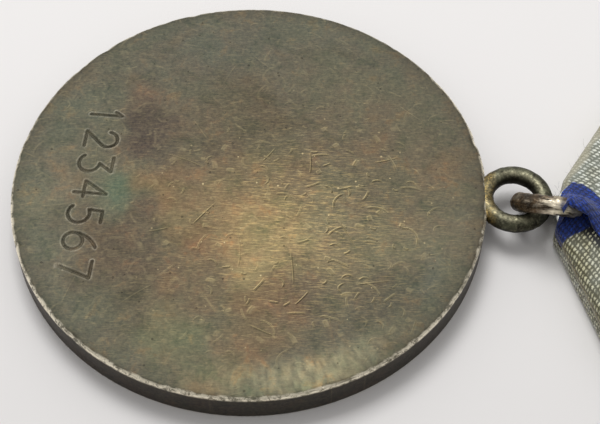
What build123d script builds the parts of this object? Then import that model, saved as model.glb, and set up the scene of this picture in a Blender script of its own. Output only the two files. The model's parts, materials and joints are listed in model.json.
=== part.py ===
from build123d import *
import os
from math import cos, radians, sin, tan

# Military service medal lying on its face: a struck silver disc, a soldered eyelet, a link ring
# and a ribbon-covered pentagonal block with a pin on its back. Millimetres, +Z up.
# The origin is the disc's centre on the plane it rests on. +X runs along the block, away from the disc.

os.makedirs("parts", exist_ok=True)

# ---- driving dimensions -------------------------------------------------------------------------
# disc
disc_radius = 18.5
disc_thickness = 2.8
reverse_edge_round = 0.22
obverse_edge_round = 0.12
rim_width = 1.2
rim_height = 0.5
disc_turn = 5.7  # degrees from the block's axis to the disc's own axis

# stamped number on the reverse
digit_height = 2.55
digit_width = 1.5
digit_pitch = 2.43
digit_stroke = 0.26
digit_depth = 0.18
number_distance = 12.3  # from the disc's centre, away from the eyelet
number_shift = -0.7
number_tilt = -3.9

# relief on the obverse
star_radius = 7.4
star_waist = 0.42  # share of the star's radius at its inner corners
star_border = 0.75
relief_height = 0.3
enamel_thickness = 0.24
enamel_gap = 0.03
wreath_radius = 13.3
leaf_length = 4.3
leaf_width = 1.7
leaves_per_side = 8
leaf_first_angle = 30.0
leaf_step_angle = 17.0
leaf_slant = 24.0

# eyelet: a wire ring soldered into the rim
eyelet_ring_radius = 2.32
eyelet_wire = 1.45
eyelet_bite = 0.87
eyelet_height = 2.07
solder_reach = 1.05
solder_half_width = 2.45

# link ring
link_outer_diameter = 5.7
link_wire = 1.25
link_lean = 35.5  # degrees from upright, leaning towards -Y
link_floor_gap = 0.02
link_past_eyelet = 2.49  # from the eyelet's centre to the link ring's, along the block
link_aside = -0.49

# block
block_length = 46.0
block_axis_y = 1.4
apex_half_width = 1.51
apex_half_angle = 65.0
sheet = 0.6
wall = 0.6
ribbon_thickness = 0.3
ribbon_width = 24.0
plate_margin = 0.3  # of bare plate past the ribbon on each side
ribbon_hem = 6.0
flap_angle = 43.0  # from the block's axis to the ribbon's edge on its back
flap_tuck = 2.4  # length of each flap held under the back plate
tray_depth = 2.1
lug_gap = 0.085  # between the lug's tip and the eyelet
lug_bar = 0.63
lug_edge_round = 0.28
slot_length = 2.35
slot_half_front = 1.2
slot_half_back = 1.8
slot_round = 0.3
notch_half_width = 1.4
throat_half_width = 2.2  # of the opening under the lug
notch_past_slot = 0.05

# back plate and its crimped tabs
cover_sheet = 0.5
cover_start = 11.5
cover_side_gap = 0.1
cover_rim_wall = 0.5
cover_rim_gap = 0.35
cover_round = 1.5
tab_width = 3.0
tab_thickness = 0.4
tab_overlap = 1.2
tab_places = (0.42, 0.84)  # shares of the block's length

# pin
pin_from_top = 12.0  # from the block's top edge
needle_radius = 0.4
needle_short = 1.4  # from the end of the needle's straight part to the catch's middle
needle_taper = 4.5
needle_tip_radius = 0.08
needle_neck = 1.1
needle_neck_radius = 0.6
hinge_from_side = 3.7  # from the plate's side to the hinge
hinge_gap = 0.1
eye_radius = 1.1
eye_width = 1.7
ear_thickness = 0.45
ear_radius = 1.3
axle_radius = 0.5
axle_clearance = 0.05
axle_fit = 0.02
axle_head_radius = 0.85
axle_head = 0.35
bracket_sheet = 0.5
bracket_margin = 2.2
bracket_depth = 3.6
base_round = 0.6
catch_from_side = 4.3
catch_length = 2.4
catch_inner_radius = 0.5
catch_wall = 0.4
catch_mouth = 110.0
catch_web = 0.7
catch_base_length = 6.4
catch_base_width = 3.0
catch_rivet_spacing = 4.4
rivet_radius = 0.45
rivet_fit = 0.02
rivet_head_radius = 0.8
rivet_head = 0.35

# ---- places worked out from the dimensions ------------------------------------------------------
eyelet_distance = disc_radius + eyelet_ring_radius + eyelet_wire / 2 - eyelet_bite
eyelet_outer = eyelet_ring_radius + eyelet_wire / 2
eyelet_x = eyelet_distance * cos(radians(disc_turn))
eyelet_y = eyelet_distance * sin(radians(disc_turn))

link_ring_radius = (link_outer_diameter - link_wire) / 2
link_x = eyelet_x + link_past_eyelet
link_y = eyelet_y + link_aside
link_z = link_ring_radius * cos(radians(link_lean)) + link_wire / 2 + link_floor_gap

lug_tip_x = eyelet_x + eyelet_outer + lug_gap
plate_bottom = ribbon_thickness
plate_top = plate_bottom + tray_depth
flap_bottom = plate_top
flap_middle = flap_bottom + ribbon_thickness
cover_bottom = flap_middle + ribbon_thickness
cover_top = cover_bottom + cover_sheet
slope = tan(radians(apex_half_angle))
slot_end = lug_bar + slot_length
tray_start = slot_end + wall / 2 + notch_past_slot
block_width = ribbon_width + 2 * plate_margin
block_half = block_width / 2
ribbon_half = ribbon_width / 2
pin_place = block_length - pin_from_top
hinge_side = block_half - hinge_from_side
catch_side = catch_from_side - block_half
needle_straight = hinge_side - catch_side - eye_radius - needle_neck - needle_short
needle_z = cover_top + bracket_sheet + ear_radius + hinge_gap / 2

BLOCK = Location((lug_tip_x, block_axis_y, 0))
DISC = Rotation(0, 0, disc_turn)


def v_outline(inset, start, end, half):
    """The block's pentagon from start to end along its axis, its V edges moved in by inset."""
    reach = inset / cos(radians(apex_half_angle))
    at_start = apex_half_width + start * slope - reach
    shoulder = (half + reach - apex_half_width) / slope
    points = [(start, -at_start), (shoulder, -half), (end, -half)]
    points += [(end, half), (shoulder, half), (start, at_start)]
    return make_face(Polyline(*points, close=True))


def extruded(face, low, high):
    return Pos(0, 0, low) * extrude(face, high - low)


# ---- disc ---------------------------------------------------------------------------------------
def digit_lines(digit):
    """The pen strokes of one figure, standing on y = 0 and centred on x = 0."""
    w = digit_width / 2
    h = digit_height
    if digit == "1":
        return [Polyline((-w * 0.5, h * 0.78), (0, h), (0, 0))]
    if digit == "2":
        bow = ThreePointArc((-w, h * 0.74), (0, h), (w * 0.8, h * 0.56))
        return [bow, Polyline((w * 0.8, h * 0.56), (-w, 0), (w, 0))]
    if digit == "3":
        bow = ThreePointArc((-w * 0.1, h * 0.6), (w, h * 0.3), (-w, h * 0.1))
        return [Polyline((-w, h), (w * 0.9, h), (-w * 0.1, h * 0.6)), bow]
    if digit == "4":
        upright = Line((w * 0.5, 0), (w * 0.5, h))
        return [upright, Polyline((w * 0.5, h), (-w, h * 0.3), (w, h * 0.3))]
    if digit == "5":
        bow = ThreePointArc((-w * 0.7, h * 0.58), (w, h * 0.3), (-w, h * 0.08))
        return [Polyline((w * 0.8, h), (-w * 0.6, h), (-w * 0.7, h * 0.58)), bow]
    if digit == "6":
        loop = [Pos(0, w) * CenterArc((0, 0), w, start, 180) for start in (0, 180)]
        return loop + [ThreePointArc((w * 0.6, h), (-w * 0.55, h * 0.7), (-w, w))]
    return [Polyline((-w, h), (w, h), (-w * 0.2, 0))]


def number_face(digits="1234567"):
    """The stamped number, its figures' tops towards the eyelet, read from +Y to -Y."""
    face = Sketch()
    for place, digit in enumerate(digits):
        across = (place - (len(digits) - 1) / 2) * digit_pitch
        for line in digit_lines(digit):
            face += Pos(across, -digit_height / 2) * trace(line, digit_stroke)
    turned = Rotation(0, 0, -90 + number_tilt) * face
    return Pos(-number_distance, number_shift) * turned


def star_face(radius):
    points = []
    for corner in range(10):
        reach = radius if corner % 2 == 0 else radius * star_waist
        angle = radians(corner * 36)
        points.append((reach * cos(angle), reach * sin(angle)))
    return make_face(Polyline(*points, close=True))


def leaf_faces():
    leaves = Sketch()
    for side in (-1, 1):
        for count in range(leaves_per_side):
            angle = 180 + side * (leaf_first_angle + count * leaf_step_angle)
            slant = 90 - side * leaf_slant
            leaf = Rotation(0, 0, slant) * Ellipse(leaf_length / 2, leaf_width / 2)
            leaves += Rotation(0, 0, angle) * Pos(wreath_radius, 0) * leaf
    return leaves


def medal_disc():
    """The struck disc, reverse up: a flat numbered back, and a rim, wreath and star on its face."""
    disc = Pos(0, 0, disc_thickness / 2) * Cylinder(disc_radius, disc_thickness)
    disc = fillet(disc.edges().sort_by(Axis.Z)[-1], reverse_edge_round)
    disc = fillet(disc.edges().sort_by(Axis.Z)[0], obverse_edge_round)
    disc -= extruded(Circle(disc_radius - rim_width), 0, rim_height)
    low = rim_height - relief_height
    disc += extruded(leaf_faces(), low, rim_height)
    border = star_face(star_radius) - star_face(star_radius - star_border)
    disc += extruded(border, low, rim_height)
    disc -= extruded(number_face(), disc_thickness - digit_depth, disc_thickness)
    return DISC * disc


def enamel_star():
    """The enamel that fills the star, a little below its border."""
    face = star_face(star_radius - star_border - enamel_gap / sin(radians(36)))
    return DISC * extruded(face, rim_height - enamel_thickness, rim_height)


def wire_ring(ring_radius, wire):
    return Torus(ring_radius, wire / 2)


def eyelet_ring():
    """The eyelet's whole ring, its wire's join turned to the disc."""
    join_at_disc = Rotation(0, 0, 180) * wire_ring(eyelet_ring_radius, eyelet_wire)
    return Pos(eyelet_distance, 0, eyelet_height) * join_at_disc


def suspension_eyelet():
    """A wire ring whose inner side is let into the rim."""
    disc_space = Pos(0, 0, disc_thickness / 2) * Cylinder(disc_radius, disc_thickness * 2)
    return DISC * (eyelet_ring() - disc_space)


def eyelet_solder():
    """The solder that runs into the corners between the eyelet and the rim."""
    middle = (disc_radius, 0, eyelet_height)
    blob = Pos(*middle) * scale(Sphere(1), (solder_reach, solder_half_width, eyelet_wire / 2))
    blob -= Pos(0, 0, disc_thickness / 2) * Cylinder(disc_radius, disc_thickness * 2)
    hole_radius = eyelet_ring_radius - eyelet_wire / 2
    hole = Pos(eyelet_distance, 0, eyelet_height) * Cylinder(hole_radius, eyelet_wire * 2)
    return DISC * (blob - eyelet_ring() - hole)


def link_ring():
    ring = Rotation(-90 + link_lean, 0, 0) * wire_ring(link_ring_radius, link_wire)
    return Pos(link_x, link_y, link_z) * ring


# ---- block --------------------------------------------------------------------------------------
def slot_face():
    points = [(lug_bar, -slot_half_front), (lug_bar + slot_length / 2, -slot_half_back)]
    points += [(slot_end, -slot_half_back), (slot_end, slot_half_back)]
    points += [(lug_bar + slot_length / 2, slot_half_back), (lug_bar, slot_half_front)]
    return fillet(make_face(Polyline(*points, close=True)).vertices(), slot_round)


def tab(side, place):
    """One tab that stands up from the tray's side and is crimped over the back plate's edge."""
    high = cover_top + tab_thickness
    middle = place * block_length
    upright = Pos(middle, side * (block_half - wall / 2)) * Rectangle(tab_width, wall)
    depth = wall + tab_overlap
    over = Pos(middle, side * (block_half - depth / 2)) * Rectangle(tab_width, depth)
    return extruded(upright, plate_top, high) + extruded(over, cover_top, high)


def block_plate():
    """The pressed tray, open at its back, with the slotted lug that carries the link ring."""
    outline = v_outline(ribbon_thickness, tray_start, block_length, block_half)
    inner_end = block_length - wall
    inner_start = tray_start + wall
    inner = v_outline(ribbon_thickness + wall, inner_start, inner_end, block_half - wall)
    tray = extruded(outline, plate_bottom, plate_top)
    tray -= extruded(inner, plate_bottom + sheet, plate_top)
    lug = v_outline(ribbon_thickness, 0, block_length, block_half)
    lug &= Pos(inner_start / 2, 0) * Rectangle(inner_start, block_width)
    lug = extruded(lug - slot_face(), plate_top - sheet, plate_top)
    bar_edges = lug.edges().filter_by(Axis.Y).filter_by_position(Axis.X, -0.01, lug_bar + 0.01)
    lug = fillet(bar_edges, lug_edge_round)
    tray += lug
    for side in (-1, 1):
        for place in tab_places:
            tray += tab(side, place)
    return BLOCK * tray


def ring_notch():
    """The way in for the link ring: wide below the lug, narrow through the flaps above it."""
    end = slot_end + notch_past_slot
    above = extruded(Pos(end / 2, 0) * Rectangle(end, 2 * notch_half_width), 0, cover_bottom)
    return above + extruded(Pos(end / 2, 0) * Rectangle(end, 2 * throat_half_width), 0, plate_top)


def flap(side):
    """One back flap, turned over the V edge on that side. Its free edge runs from the apex."""
    outline = v_outline(0, 0, cover_start + flap_tuck, ribbon_half)
    far = block_length
    along = far / tan(radians(flap_angle))
    cut_away = Polyline((0, 0), (along, -side * far), (-far, -side * far), (-far, 0), close=True)
    return outline - make_face(cut_away)


def ribbon():
    """The ribbon: its front, both V edges, the crossing back flaps, and the hem over the top edge."""
    top = block_length + ribbon_thickness
    front = v_outline(0, 0, top, ribbon_half)
    body = extruded(front, 0, ribbon_thickness)
    past = ribbon_thickness  # how far the core reaches past the ribbon where the ribbon is open
    outer = v_outline(0, 0, cover_start, ribbon_half)
    core = v_outline(ribbon_thickness, -past, cover_start + past, ribbon_half + past)
    body += extruded(outer - core, 0, flap_bottom)
    body += extruded(flap(-1), flap_bottom, flap_middle)
    body += extruded(flap(1), flap_middle, cover_bottom)
    end = Pos(block_length + ribbon_thickness / 2, 0) * Rectangle(ribbon_thickness, ribbon_width)
    body += extruded(end, 0, flap_middle)
    hem = Pos(top - ribbon_hem / 2, 0) * Rectangle(ribbon_hem, ribbon_width - 2 * wall)
    body += extruded(hem, flap_bottom, flap_middle)
    body -= ring_notch()
    return BLOCK * body


def pin_holes(places):
    holes = Sketch()
    for x, y in places:
        holes += Pos(x, y) * Circle(rivet_radius + rivet_fit)
    return holes


def bracket_places():
    aside = eye_width / 2 + hinge_gap + ear_thickness + bracket_margin / 2
    return [(pin_place - aside, hinge_side), (pin_place + aside, hinge_side)]


def catch_places():
    aside = catch_rivet_spacing / 2
    return [(pin_place - aside, catch_side), (pin_place + aside, catch_side)]


def cover_plate():
    """The back plate: it closes the tray and grips the ribbon's ends with the rim on its inside."""
    half = block_half - wall - cover_side_gap
    length = block_length - cover_start
    middle = cover_start + length / 2
    plate = Pos(middle, 0) * RectangleRounded(length, 2 * half, cover_round)
    holes = pin_holes(bracket_places() + catch_places())
    solid = extruded(plate - holes, cover_bottom, cover_top)
    rim_end = block_length - ribbon_hem - cover_rim_gap
    rim_start = cover_start + flap_tuck + cover_rim_gap
    rim_length = rim_end - rim_start
    rim_half = half - cover_rim_gap
    outer = RectangleRounded(rim_length, 2 * rim_half, cover_round)
    thin = 2 * cover_rim_wall
    inner = RectangleRounded(rim_length - thin, 2 * rim_half - thin, cover_round - cover_rim_wall)
    rim = Pos(rim_start + rim_length / 2, 0) * (outer - inner)
    solid += extruded(rim, plate_bottom + sheet, cover_bottom)
    return BLOCK * solid


# ---- pin ----------------------------------------------------------------------------------------
def along_x(radius, length):
    return Rotation(0, 90, 0) * Cylinder(radius, length)


def hinge_bracket():
    """A riveted base with two ears for the axle."""
    aside = eye_width / 2 + hinge_gap + ear_thickness / 2
    width = 2 * (eye_width / 2 + hinge_gap + ear_thickness + bracket_margin)
    base = Pos(pin_place, hinge_side) * RectangleRounded(width, bracket_depth, base_round)
    solid = extruded(base - pin_holes(bracket_places()), cover_top, cover_top + bracket_sheet)
    drop = needle_z - cover_top - bracket_sheet
    for side in (-1, 1):
        ear = along_x(ear_radius, ear_thickness)
        ear += Pos(0, 0, -drop / 2) * Box(ear_thickness, 2 * ear_radius, drop)
        ear -= along_x(axle_radius + axle_fit, ear_thickness * 2)
        solid += Pos(pin_place + side * aside, hinge_side, needle_z) * ear
    return BLOCK * solid


def hinge_axle():
    outside = eye_width + 2 * hinge_gap + 2 * ear_thickness
    axle = along_x(axle_radius, outside + 2 * axle_head)
    for side in (-1, 1):
        axle += Pos(side * (outside + axle_head) / 2, 0, 0) * along_x(axle_head_radius, axle_head)
    return BLOCK * Pos(pin_place, hinge_side, needle_z) * axle


def pin_needle():
    """The needle: a flat eye on the axle, a short neck, a straight shaft and a long point."""
    start = (eye_radius + axle_radius) / 2
    neck = eye_radius + needle_neck - start
    shaft_start = start + neck
    pieces = Pos(0, 0, -start - neck / 2) * Cone(needle_radius, needle_neck_radius, neck)
    middle = -shaft_start - needle_straight / 2
    pieces += Pos(0, 0, middle) * Cylinder(needle_radius, needle_straight)
    middle = -shaft_start - needle_straight - needle_taper / 2
    pieces += Pos(0, 0, middle) * Cone(needle_tip_radius, needle_radius, needle_taper)
    needle = Rotation(-90, 0, 0) * pieces
    needle += along_x(eye_radius, eye_width)
    needle -= along_x(axle_radius + axle_clearance, eye_width * 2)
    return BLOCK * Pos(pin_place, hinge_side, needle_z) * needle


def pin_catch():
    """A spring clip on a riveted base: the needle snaps in through its mouth."""
    base = Pos(pin_place, catch_side) * RectangleRounded(catch_base_length, catch_base_width, base_round)
    base_top = cover_top + bracket_sheet
    solid = extruded(base - pin_holes(catch_places()), cover_top, base_top)
    outer_radius = catch_inner_radius + catch_wall
    profile = Circle(outer_radius) - Circle(catch_inner_radius)
    reach = 2 * outer_radius
    across = reach * sin(radians(catch_mouth / 2))
    up = reach * cos(radians(catch_mouth / 2))
    profile -= make_face(Polyline((0, 0), (across, up), (0, 2 * reach), (-across, up), close=True))
    drop = needle_z - base_top
    web = Pos(0, -(catch_inner_radius + drop) / 2) * Rectangle(catch_web, drop - catch_inner_radius)
    clip = Rotation(90, 0, 0) * extrude(profile + web, catch_length / 2, both=True)
    solid += Pos(pin_place, catch_side, needle_z) * clip
    return BLOCK * solid


def rivets():
    """Two rivets for the bracket and two for the catch, headed on both sides."""
    low = cover_bottom
    high = cover_top + bracket_sheet
    group = []
    for x, y in bracket_places() + catch_places():
        rivet = Pos(x, y, (low + high) / 2) * Cylinder(rivet_radius, high - low + 2 * rivet_head)
        rivet += Pos(x, y, low - rivet_head / 2) * Cylinder(rivet_head_radius, rivet_head)
        rivet += Pos(x, y, high + rivet_head / 2) * Cylinder(rivet_head_radius, rivet_head)
        group.append(BLOCK * rivet)
    return Compound(children=group)


NODES = {
    "medal_disc": medal_disc,
    "enamel_star": enamel_star,
    "suspension_eyelet": suspension_eyelet,
    "eyelet_solder": eyelet_solder,
    "link_ring": link_ring,
    "block_plate": block_plate,
    "ribbon": ribbon,
    "cover_plate": cover_plate,
    "hinge_bracket": hinge_bracket,
    "hinge_axle": hinge_axle,
    "pin_needle": pin_needle,
    "pin_catch": pin_catch,
    "rivets": rivets,
}

for name, make in NODES.items():
    export_step(make(), f"parts/{name}.step")
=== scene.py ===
import json
from math import atan2, cos, pi, radians, sin, sqrt, tan

import bmesh
import bpy
import numpy as np
from mathutils import Matrix, Vector
from mathutils.geometry import delaunay_2d_cdt


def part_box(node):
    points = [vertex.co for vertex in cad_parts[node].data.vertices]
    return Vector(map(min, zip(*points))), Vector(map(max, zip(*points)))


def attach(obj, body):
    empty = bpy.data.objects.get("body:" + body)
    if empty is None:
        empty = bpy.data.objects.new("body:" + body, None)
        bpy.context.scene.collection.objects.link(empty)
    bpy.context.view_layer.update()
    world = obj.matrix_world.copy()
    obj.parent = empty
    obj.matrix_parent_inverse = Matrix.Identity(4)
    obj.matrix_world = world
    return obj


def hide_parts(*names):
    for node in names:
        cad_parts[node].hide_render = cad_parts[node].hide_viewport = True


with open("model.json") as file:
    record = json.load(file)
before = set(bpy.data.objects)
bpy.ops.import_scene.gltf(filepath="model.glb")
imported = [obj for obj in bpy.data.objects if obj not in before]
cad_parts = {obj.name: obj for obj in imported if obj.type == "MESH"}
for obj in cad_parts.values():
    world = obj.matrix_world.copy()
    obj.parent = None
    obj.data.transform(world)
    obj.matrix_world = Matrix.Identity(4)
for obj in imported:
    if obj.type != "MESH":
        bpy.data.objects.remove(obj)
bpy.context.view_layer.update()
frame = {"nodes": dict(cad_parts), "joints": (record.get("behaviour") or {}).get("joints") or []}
MM = 0.001


# ---- places, in millimetres, read from the frame --------------------------------------------------
def box_mm(node):
    """The low and high corners of a CAD node."""
    low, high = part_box(node)
    return np.array(low) / MM, np.array(high) / MM


disc_low, disc_high = box_mm("medal_disc")
disc_radius = (disc_high[0] - disc_low[0]) / 2
disc_top = disc_high[2]
eye_low, eye_high = box_mm("suspension_eyelet")
eye_outer = (eye_high[1] - eye_low[1]) / 2
eye_wire = (eye_high[2] - eye_low[2]) / 2
eye_ring = eye_outer - eye_wire
eye_centre = np.array([eye_high[0] - eye_outer, *((eye_low + eye_high) / 2)[1:]])
disc_turn = atan2(eye_centre[1], eye_centre[0])
link_low, link_high = box_mm("link_ring")
link_centre = (link_low + link_high) / 2
link_outer = (link_high[0] - link_low[0]) / 2
link_joint = next(joint for joint in frame["joints"] if joint["name"] == "link_fold")
link_normal = np.array(link_joint["axis"], float)
link_pivot = np.array(link_joint["pos_m"], float) / MM
plate_low, plate_high = box_mm("block_plate")
ribbon_low, ribbon_high = box_mm("ribbon")
cover_x = box_mm("cover_plate")[0][0]
block_x = plate_low[0]
block_y = (plate_low[1] + plate_high[1]) / 2
block_half = (ribbon_high[1] - ribbon_low[1]) / 2
ribbon_top = ribbon_high[2]


# ---- shader helpers -------------------------------------------------------------------------------
BLACK, WHITE = (0.0, 0.0, 0.0), (1.0, 1.0, 1.0)


def linear(red, green, blue):
    """An sRGB colour from 0 to 255 as the linear values that shaders take."""
    shares = (red / 255, green / 255, blue / 255)
    return tuple(c / 12.92 if c <= 0.04045 else ((c + 0.055) / 1.055) ** 2.4 for c in shares)


class Nodes:
    """A node tree under construction. Its methods add nodes and give back their outputs."""

    def __init__(self, tree):
        self.tree = tree

    def set(self, socket, value):
        """Feeds a socket from another node or with a plain value. None leaves it as it is."""
        if isinstance(value, bpy.types.NodeSocket):
            self.tree.links.new(value, socket)
        elif value is not None:
            socket.default_value = (*value, 1) if socket.type == "RGBA" else value

    def node(self, kind, inputs=(), **fields):
        """A new node's outputs. Its inputs go by their order, or by number or name in a dictionary."""
        node = self.tree.nodes.new("ShaderNode" + kind)
        for field, value in fields.items():
            setattr(node, field, value)
        for key, value in inputs.items() if isinstance(inputs, dict) else enumerate(inputs):
            self.set(node.inputs[key], value)
        return node.outputs

    def math(self, operation, *values, clamp=False):
        return self.node("Math", values, operation=operation, use_clamp=clamp)[0]

    def times(self, a, b):
        return self.math("MULTIPLY", a, b)

    def plus(self, a, b):
        return self.math("ADD", a, b)

    def minus(self, a, b):
        return self.math("SUBTRACT", a, b)

    def times_plus(self, a, b, c):
        return self.math("MULTIPLY_ADD", a, b, c)

    def highest(self, values):
        """The greatest of several values."""
        found = values[0]
        for value in values[1:]:
            found = self.math("MAXIMUM", found, value)
        return found

    def vector(self, operation, a, b):
        return self.node("VectorMath", (a, b), operation=operation)[0]

    def moved(self, place, by):
        return self.vector("ADD", place, by)

    def stretched(self, place, by):
        return self.vector("MULTIPLY", place, by)

    def scaled(self, place, scale):
        return self.node("VectorMath", {0: place, "Scale": scale}, operation="SCALE")[0]

    def turned(self, place, angle):
        return self.node("VectorRotate", {"Vector": place, "Angle": angle}, rotation_type="Z_AXIS")[0]

    def split(self, value):
        return self.node("SeparateXYZ", [value])

    def ranged(self, value, low, high, to_low=0.0, to_high=1.0, kind="LINEAR"):
        """A value from low to high as one from to_low to to_high, held at those ends."""
        return self.node("MapRange", (value, low, high, to_low, to_high), interpolation_type=kind)[0]

    def eased(self, value, low, high, to_low=0.0, to_high=1.0):
        """As ranged, with a smooth step instead of a straight one."""
        return self.ranged(value, low, high, to_low, to_high, "SMOOTHSTEP")

    def noise(self, place, scale, detail, roughness, distortion=0.0):
        given = {"Vector": place, "Scale": scale, "Detail": detail, "Roughness": roughness}
        return self.node("TexNoise", {**given, "Distortion": distortion})["Fac"]

    def mix(self, factor, a, b, blend="MIX"):
        return self.node("Mix", {0: factor, 6: a, 7: b}, data_type="RGBA", blend_type=blend)[2]


class Shader(Nodes):
    """A principled material whose patterns are laid out in millimetres, in the object's own place."""

    def __init__(self, name):
        self.material = bpy.data.materials.new(name)
        self.material.use_nodes = True
        super().__init__(self.material.node_tree)
        self.bsdf = next(n for n in self.tree.nodes if n.type == "BSDF_PRINCIPLED")
        self.place = self.scaled(self.node("TexCoord")["Object"], 1 / MM)

    def painted(self, name, output="Fac"):
        """What paint stored on the mesh under this name."""
        return self.node("Attribute", attribute_name=name)[output]

    def level(self):
        """1 on faces that look up or down, 0 on walls, where flat patterns would run into lines."""
        normal = self.node("NewGeometry")["Normal"]
        return self.ranged(self.math("ABSOLUTE", self.split(normal)[2]), 0.6, 0.9)

    def cells(self, place, cell_mm, shift):
        """A flat pattern of cells: the shifted place, each cell's outputs and three chances from 0 to 1."""
        shifted = self.moved(self.scaled(place, 1 / cell_mm), shift)
        cell = self.node("TexVoronoi", {"Vector": shifted, "Scale": 1.0}, voronoi_dimensions="2D")
        return shifted, cell, self.split(cell["Color"])

    def marks(self, place, cell_mm, length, width, keep, seed, bend):
        """Short curved lines on a flat surface, one at most in each cell. 1 on a line, 0 off it."""
        shifted, cell, chance = self.cells(place, cell_mm, (seed * 7.3, seed * 3.1, 0.0))
        local = self.vector("SUBTRACT", shifted, cell["Position"])
        along, across, _ = self.split(self.turned(local, self.times(self.minus(chance[0], 0.5), pi)))
        curve = self.times(self.times(along, along), self.times_plus(chance[1], 2 * bend, -bend))
        across = self.math("ABSOLUTE", self.plus(across, curve))
        thin = self.eased(across, width / cell_mm, 0.25 * width / cell_mm)
        reach = self.times_plus(chance[1], 0.6 * length / cell_mm, 0.4 * length / cell_mm)
        ends = self.eased(self.math("DIVIDE", self.math("ABSOLUTE", along), reach), 0.5, 0.25)
        return self.times(self.times(thin, ends), self.math("LESS_THAN", chance[2], keep))

    def specks(self, place, cell_mm, radius, keep, seed):
        """Round specks of differing size, one at most in each cell."""
        _, cell, chance = self.cells(place, cell_mm, (seed * 5.7, seed * 9.1, 0.0))
        size = self.times_plus(chance[0], 0.8 * radius / cell_mm, 0.2 * radius / cell_mm)
        round_speck = self.ranged(self.math("DIVIDE", cell["Distance"], size), 1.0, 0.7)
        return self.times(round_speck, self.math("LESS_THAN", chance[2], keep))

    def bump(self, height, distance_mm, strength):
        return self.node("Bump", {"Distance": distance_mm * MM, "Strength": strength, "Height": height})[0]

    def finish(self, colour, roughness, metallic=0.0, normal=None, **others):
        """Feeds the principled shader. Others name more of its sockets, with _ for a space."""
        given = dict(Base_Color=colour, Roughness=roughness, Metallic=metallic, Normal=normal, **others)
        for name, value in given.items():
            self.set(self.bsdf.inputs[name.replace("_", " ")], value)
        return self.material


# ---- mesh helpers ---------------------------------------------------------------------------------
def lattice(x, y, step, seed):
    """Smooth value noise from -1 to 1 over a plane, the same on every run."""
    table = np.random.RandomState(seed).uniform(-1, 1, (64, 64))
    px, py = np.asarray(x) / step, np.asarray(y) / step
    ix, iy = np.floor(px).astype(int), np.floor(py).astype(int)
    fx, fy = px - ix, py - iy
    fx, fy = fx * fx * (3 - 2 * fx), fy * fy * (3 - 2 * fy)
    at = lambda a, b: table[a % 64, b % 64]
    low = at(ix, iy) * (1 - fx) + at(ix + 1, iy) * fx
    high = at(ix, iy + 1) * (1 - fx) + at(ix + 1, iy + 1) * fx
    return low * (1 - fy) + high * fy


def smoothed(value, low, high):
    """A smooth step from 0 at low to 1 at high, which may be the lesser of the two."""
    t = np.clip((np.asarray(value, float) - low) / (high - low), 0, 1)
    return t * t * (3 - 2 * t)


def bell(value, middle, width):
    """A smooth hump: 1 at the middle, falling to nothing within a few widths."""
    return np.exp(-(((value - middle) / width) ** 2))


def placed(name, data):
    """A new object in the scene."""
    item = bpy.data.objects.new(name, data)
    bpy.context.scene.collection.objects.link(item)
    return item


def make_piece(name, points_mm, faces, material, body):
    """A smooth-shaded mesh that rides on one of the frame's bodies."""
    mesh = bpy.data.meshes.new(name)
    mesh.from_pydata((np.asarray(points_mm) * MM).tolist(), [], faces)
    mesh.validate()
    mesh.polygons.foreach_set("use_smooth", [True] * len(mesh.polygons))
    mesh.materials.append(material)
    mesh.update()
    piece = placed(name, mesh)
    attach(piece, body)
    return piece


def paint(piece, **layers):
    """Stores, under each name, a number, a vector or a colour for each vertex."""
    kinds = {1: ("FLOAT", "value"), 3: ("FLOAT_VECTOR", "vector"), 4: ("FLOAT_COLOR", "color")}
    for name, values in layers.items():
        values = np.asarray(values, np.float32)
        kind, field = kinds[1 if values.ndim == 1 else values.shape[1]]
        layer = piece.data.attributes.new(name, kind, "POINT")
        layer.data.foreach_set(field, values.ravel())


def zip_rings(first, first_angles, second, second_angles):
    """Triangles or quads between two closed rings of vertices whose angles may differ."""
    if len(first) == len(second) and np.allclose(first_angles, second_angles):
        following = lambda ring, i: ring[(i + 1) % len(ring)]
        return [(first[i], second[i], following(second, i), following(first, i)) for i in range(len(first))]
    faces, i, j = [], 0, 0
    while i < len(first) or j < len(second):
        next_first = first_angles[i + 1] if i + 1 < len(first) else 2 * pi
        next_second = second_angles[j + 1] if j + 1 < len(second) else 2 * pi
        a, b = first[i % len(first)], second[j % len(second)]
        if j >= len(second) or (i < len(first) and next_first <= next_second):
            faces.append((a, b, first[(i + 1) % len(first)]))
            i += 1
        else:
            faces.append((a, b, second[(j + 1) % len(second)]))
            j += 1
    return faces


def tube_faces(rows, columns, first=0, closed=False):
    """Quads between rows of vertices that run round a tube. Closed, the last row meets the first."""
    faces = []
    for i in range(rows):
        here, there = first + i * columns, first + ((i + 1) % rows if closed else i + 1) * columns
        for j in range(columns):
            k = (j + 1) % columns
            faces.append((here + j, there + j, there + k, here + k))
    return faces


# ---- the disc's material --------------------------------------------------------------------------
GOUGES = (  # cell, length and width in millimetres, share of the cells in use, seed, bend
    (4.2, 4.2, 0.06, 0.45, 3, 0.3),
    (2.4, 2.2, 0.1, 0.5, 11, 1.2),
    (1.3, 1.1, 0.09, 0.5, 23, 2.2),
    (2.1, 1.0, 0.2, 0.4, 31, 1.2),
)


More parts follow.
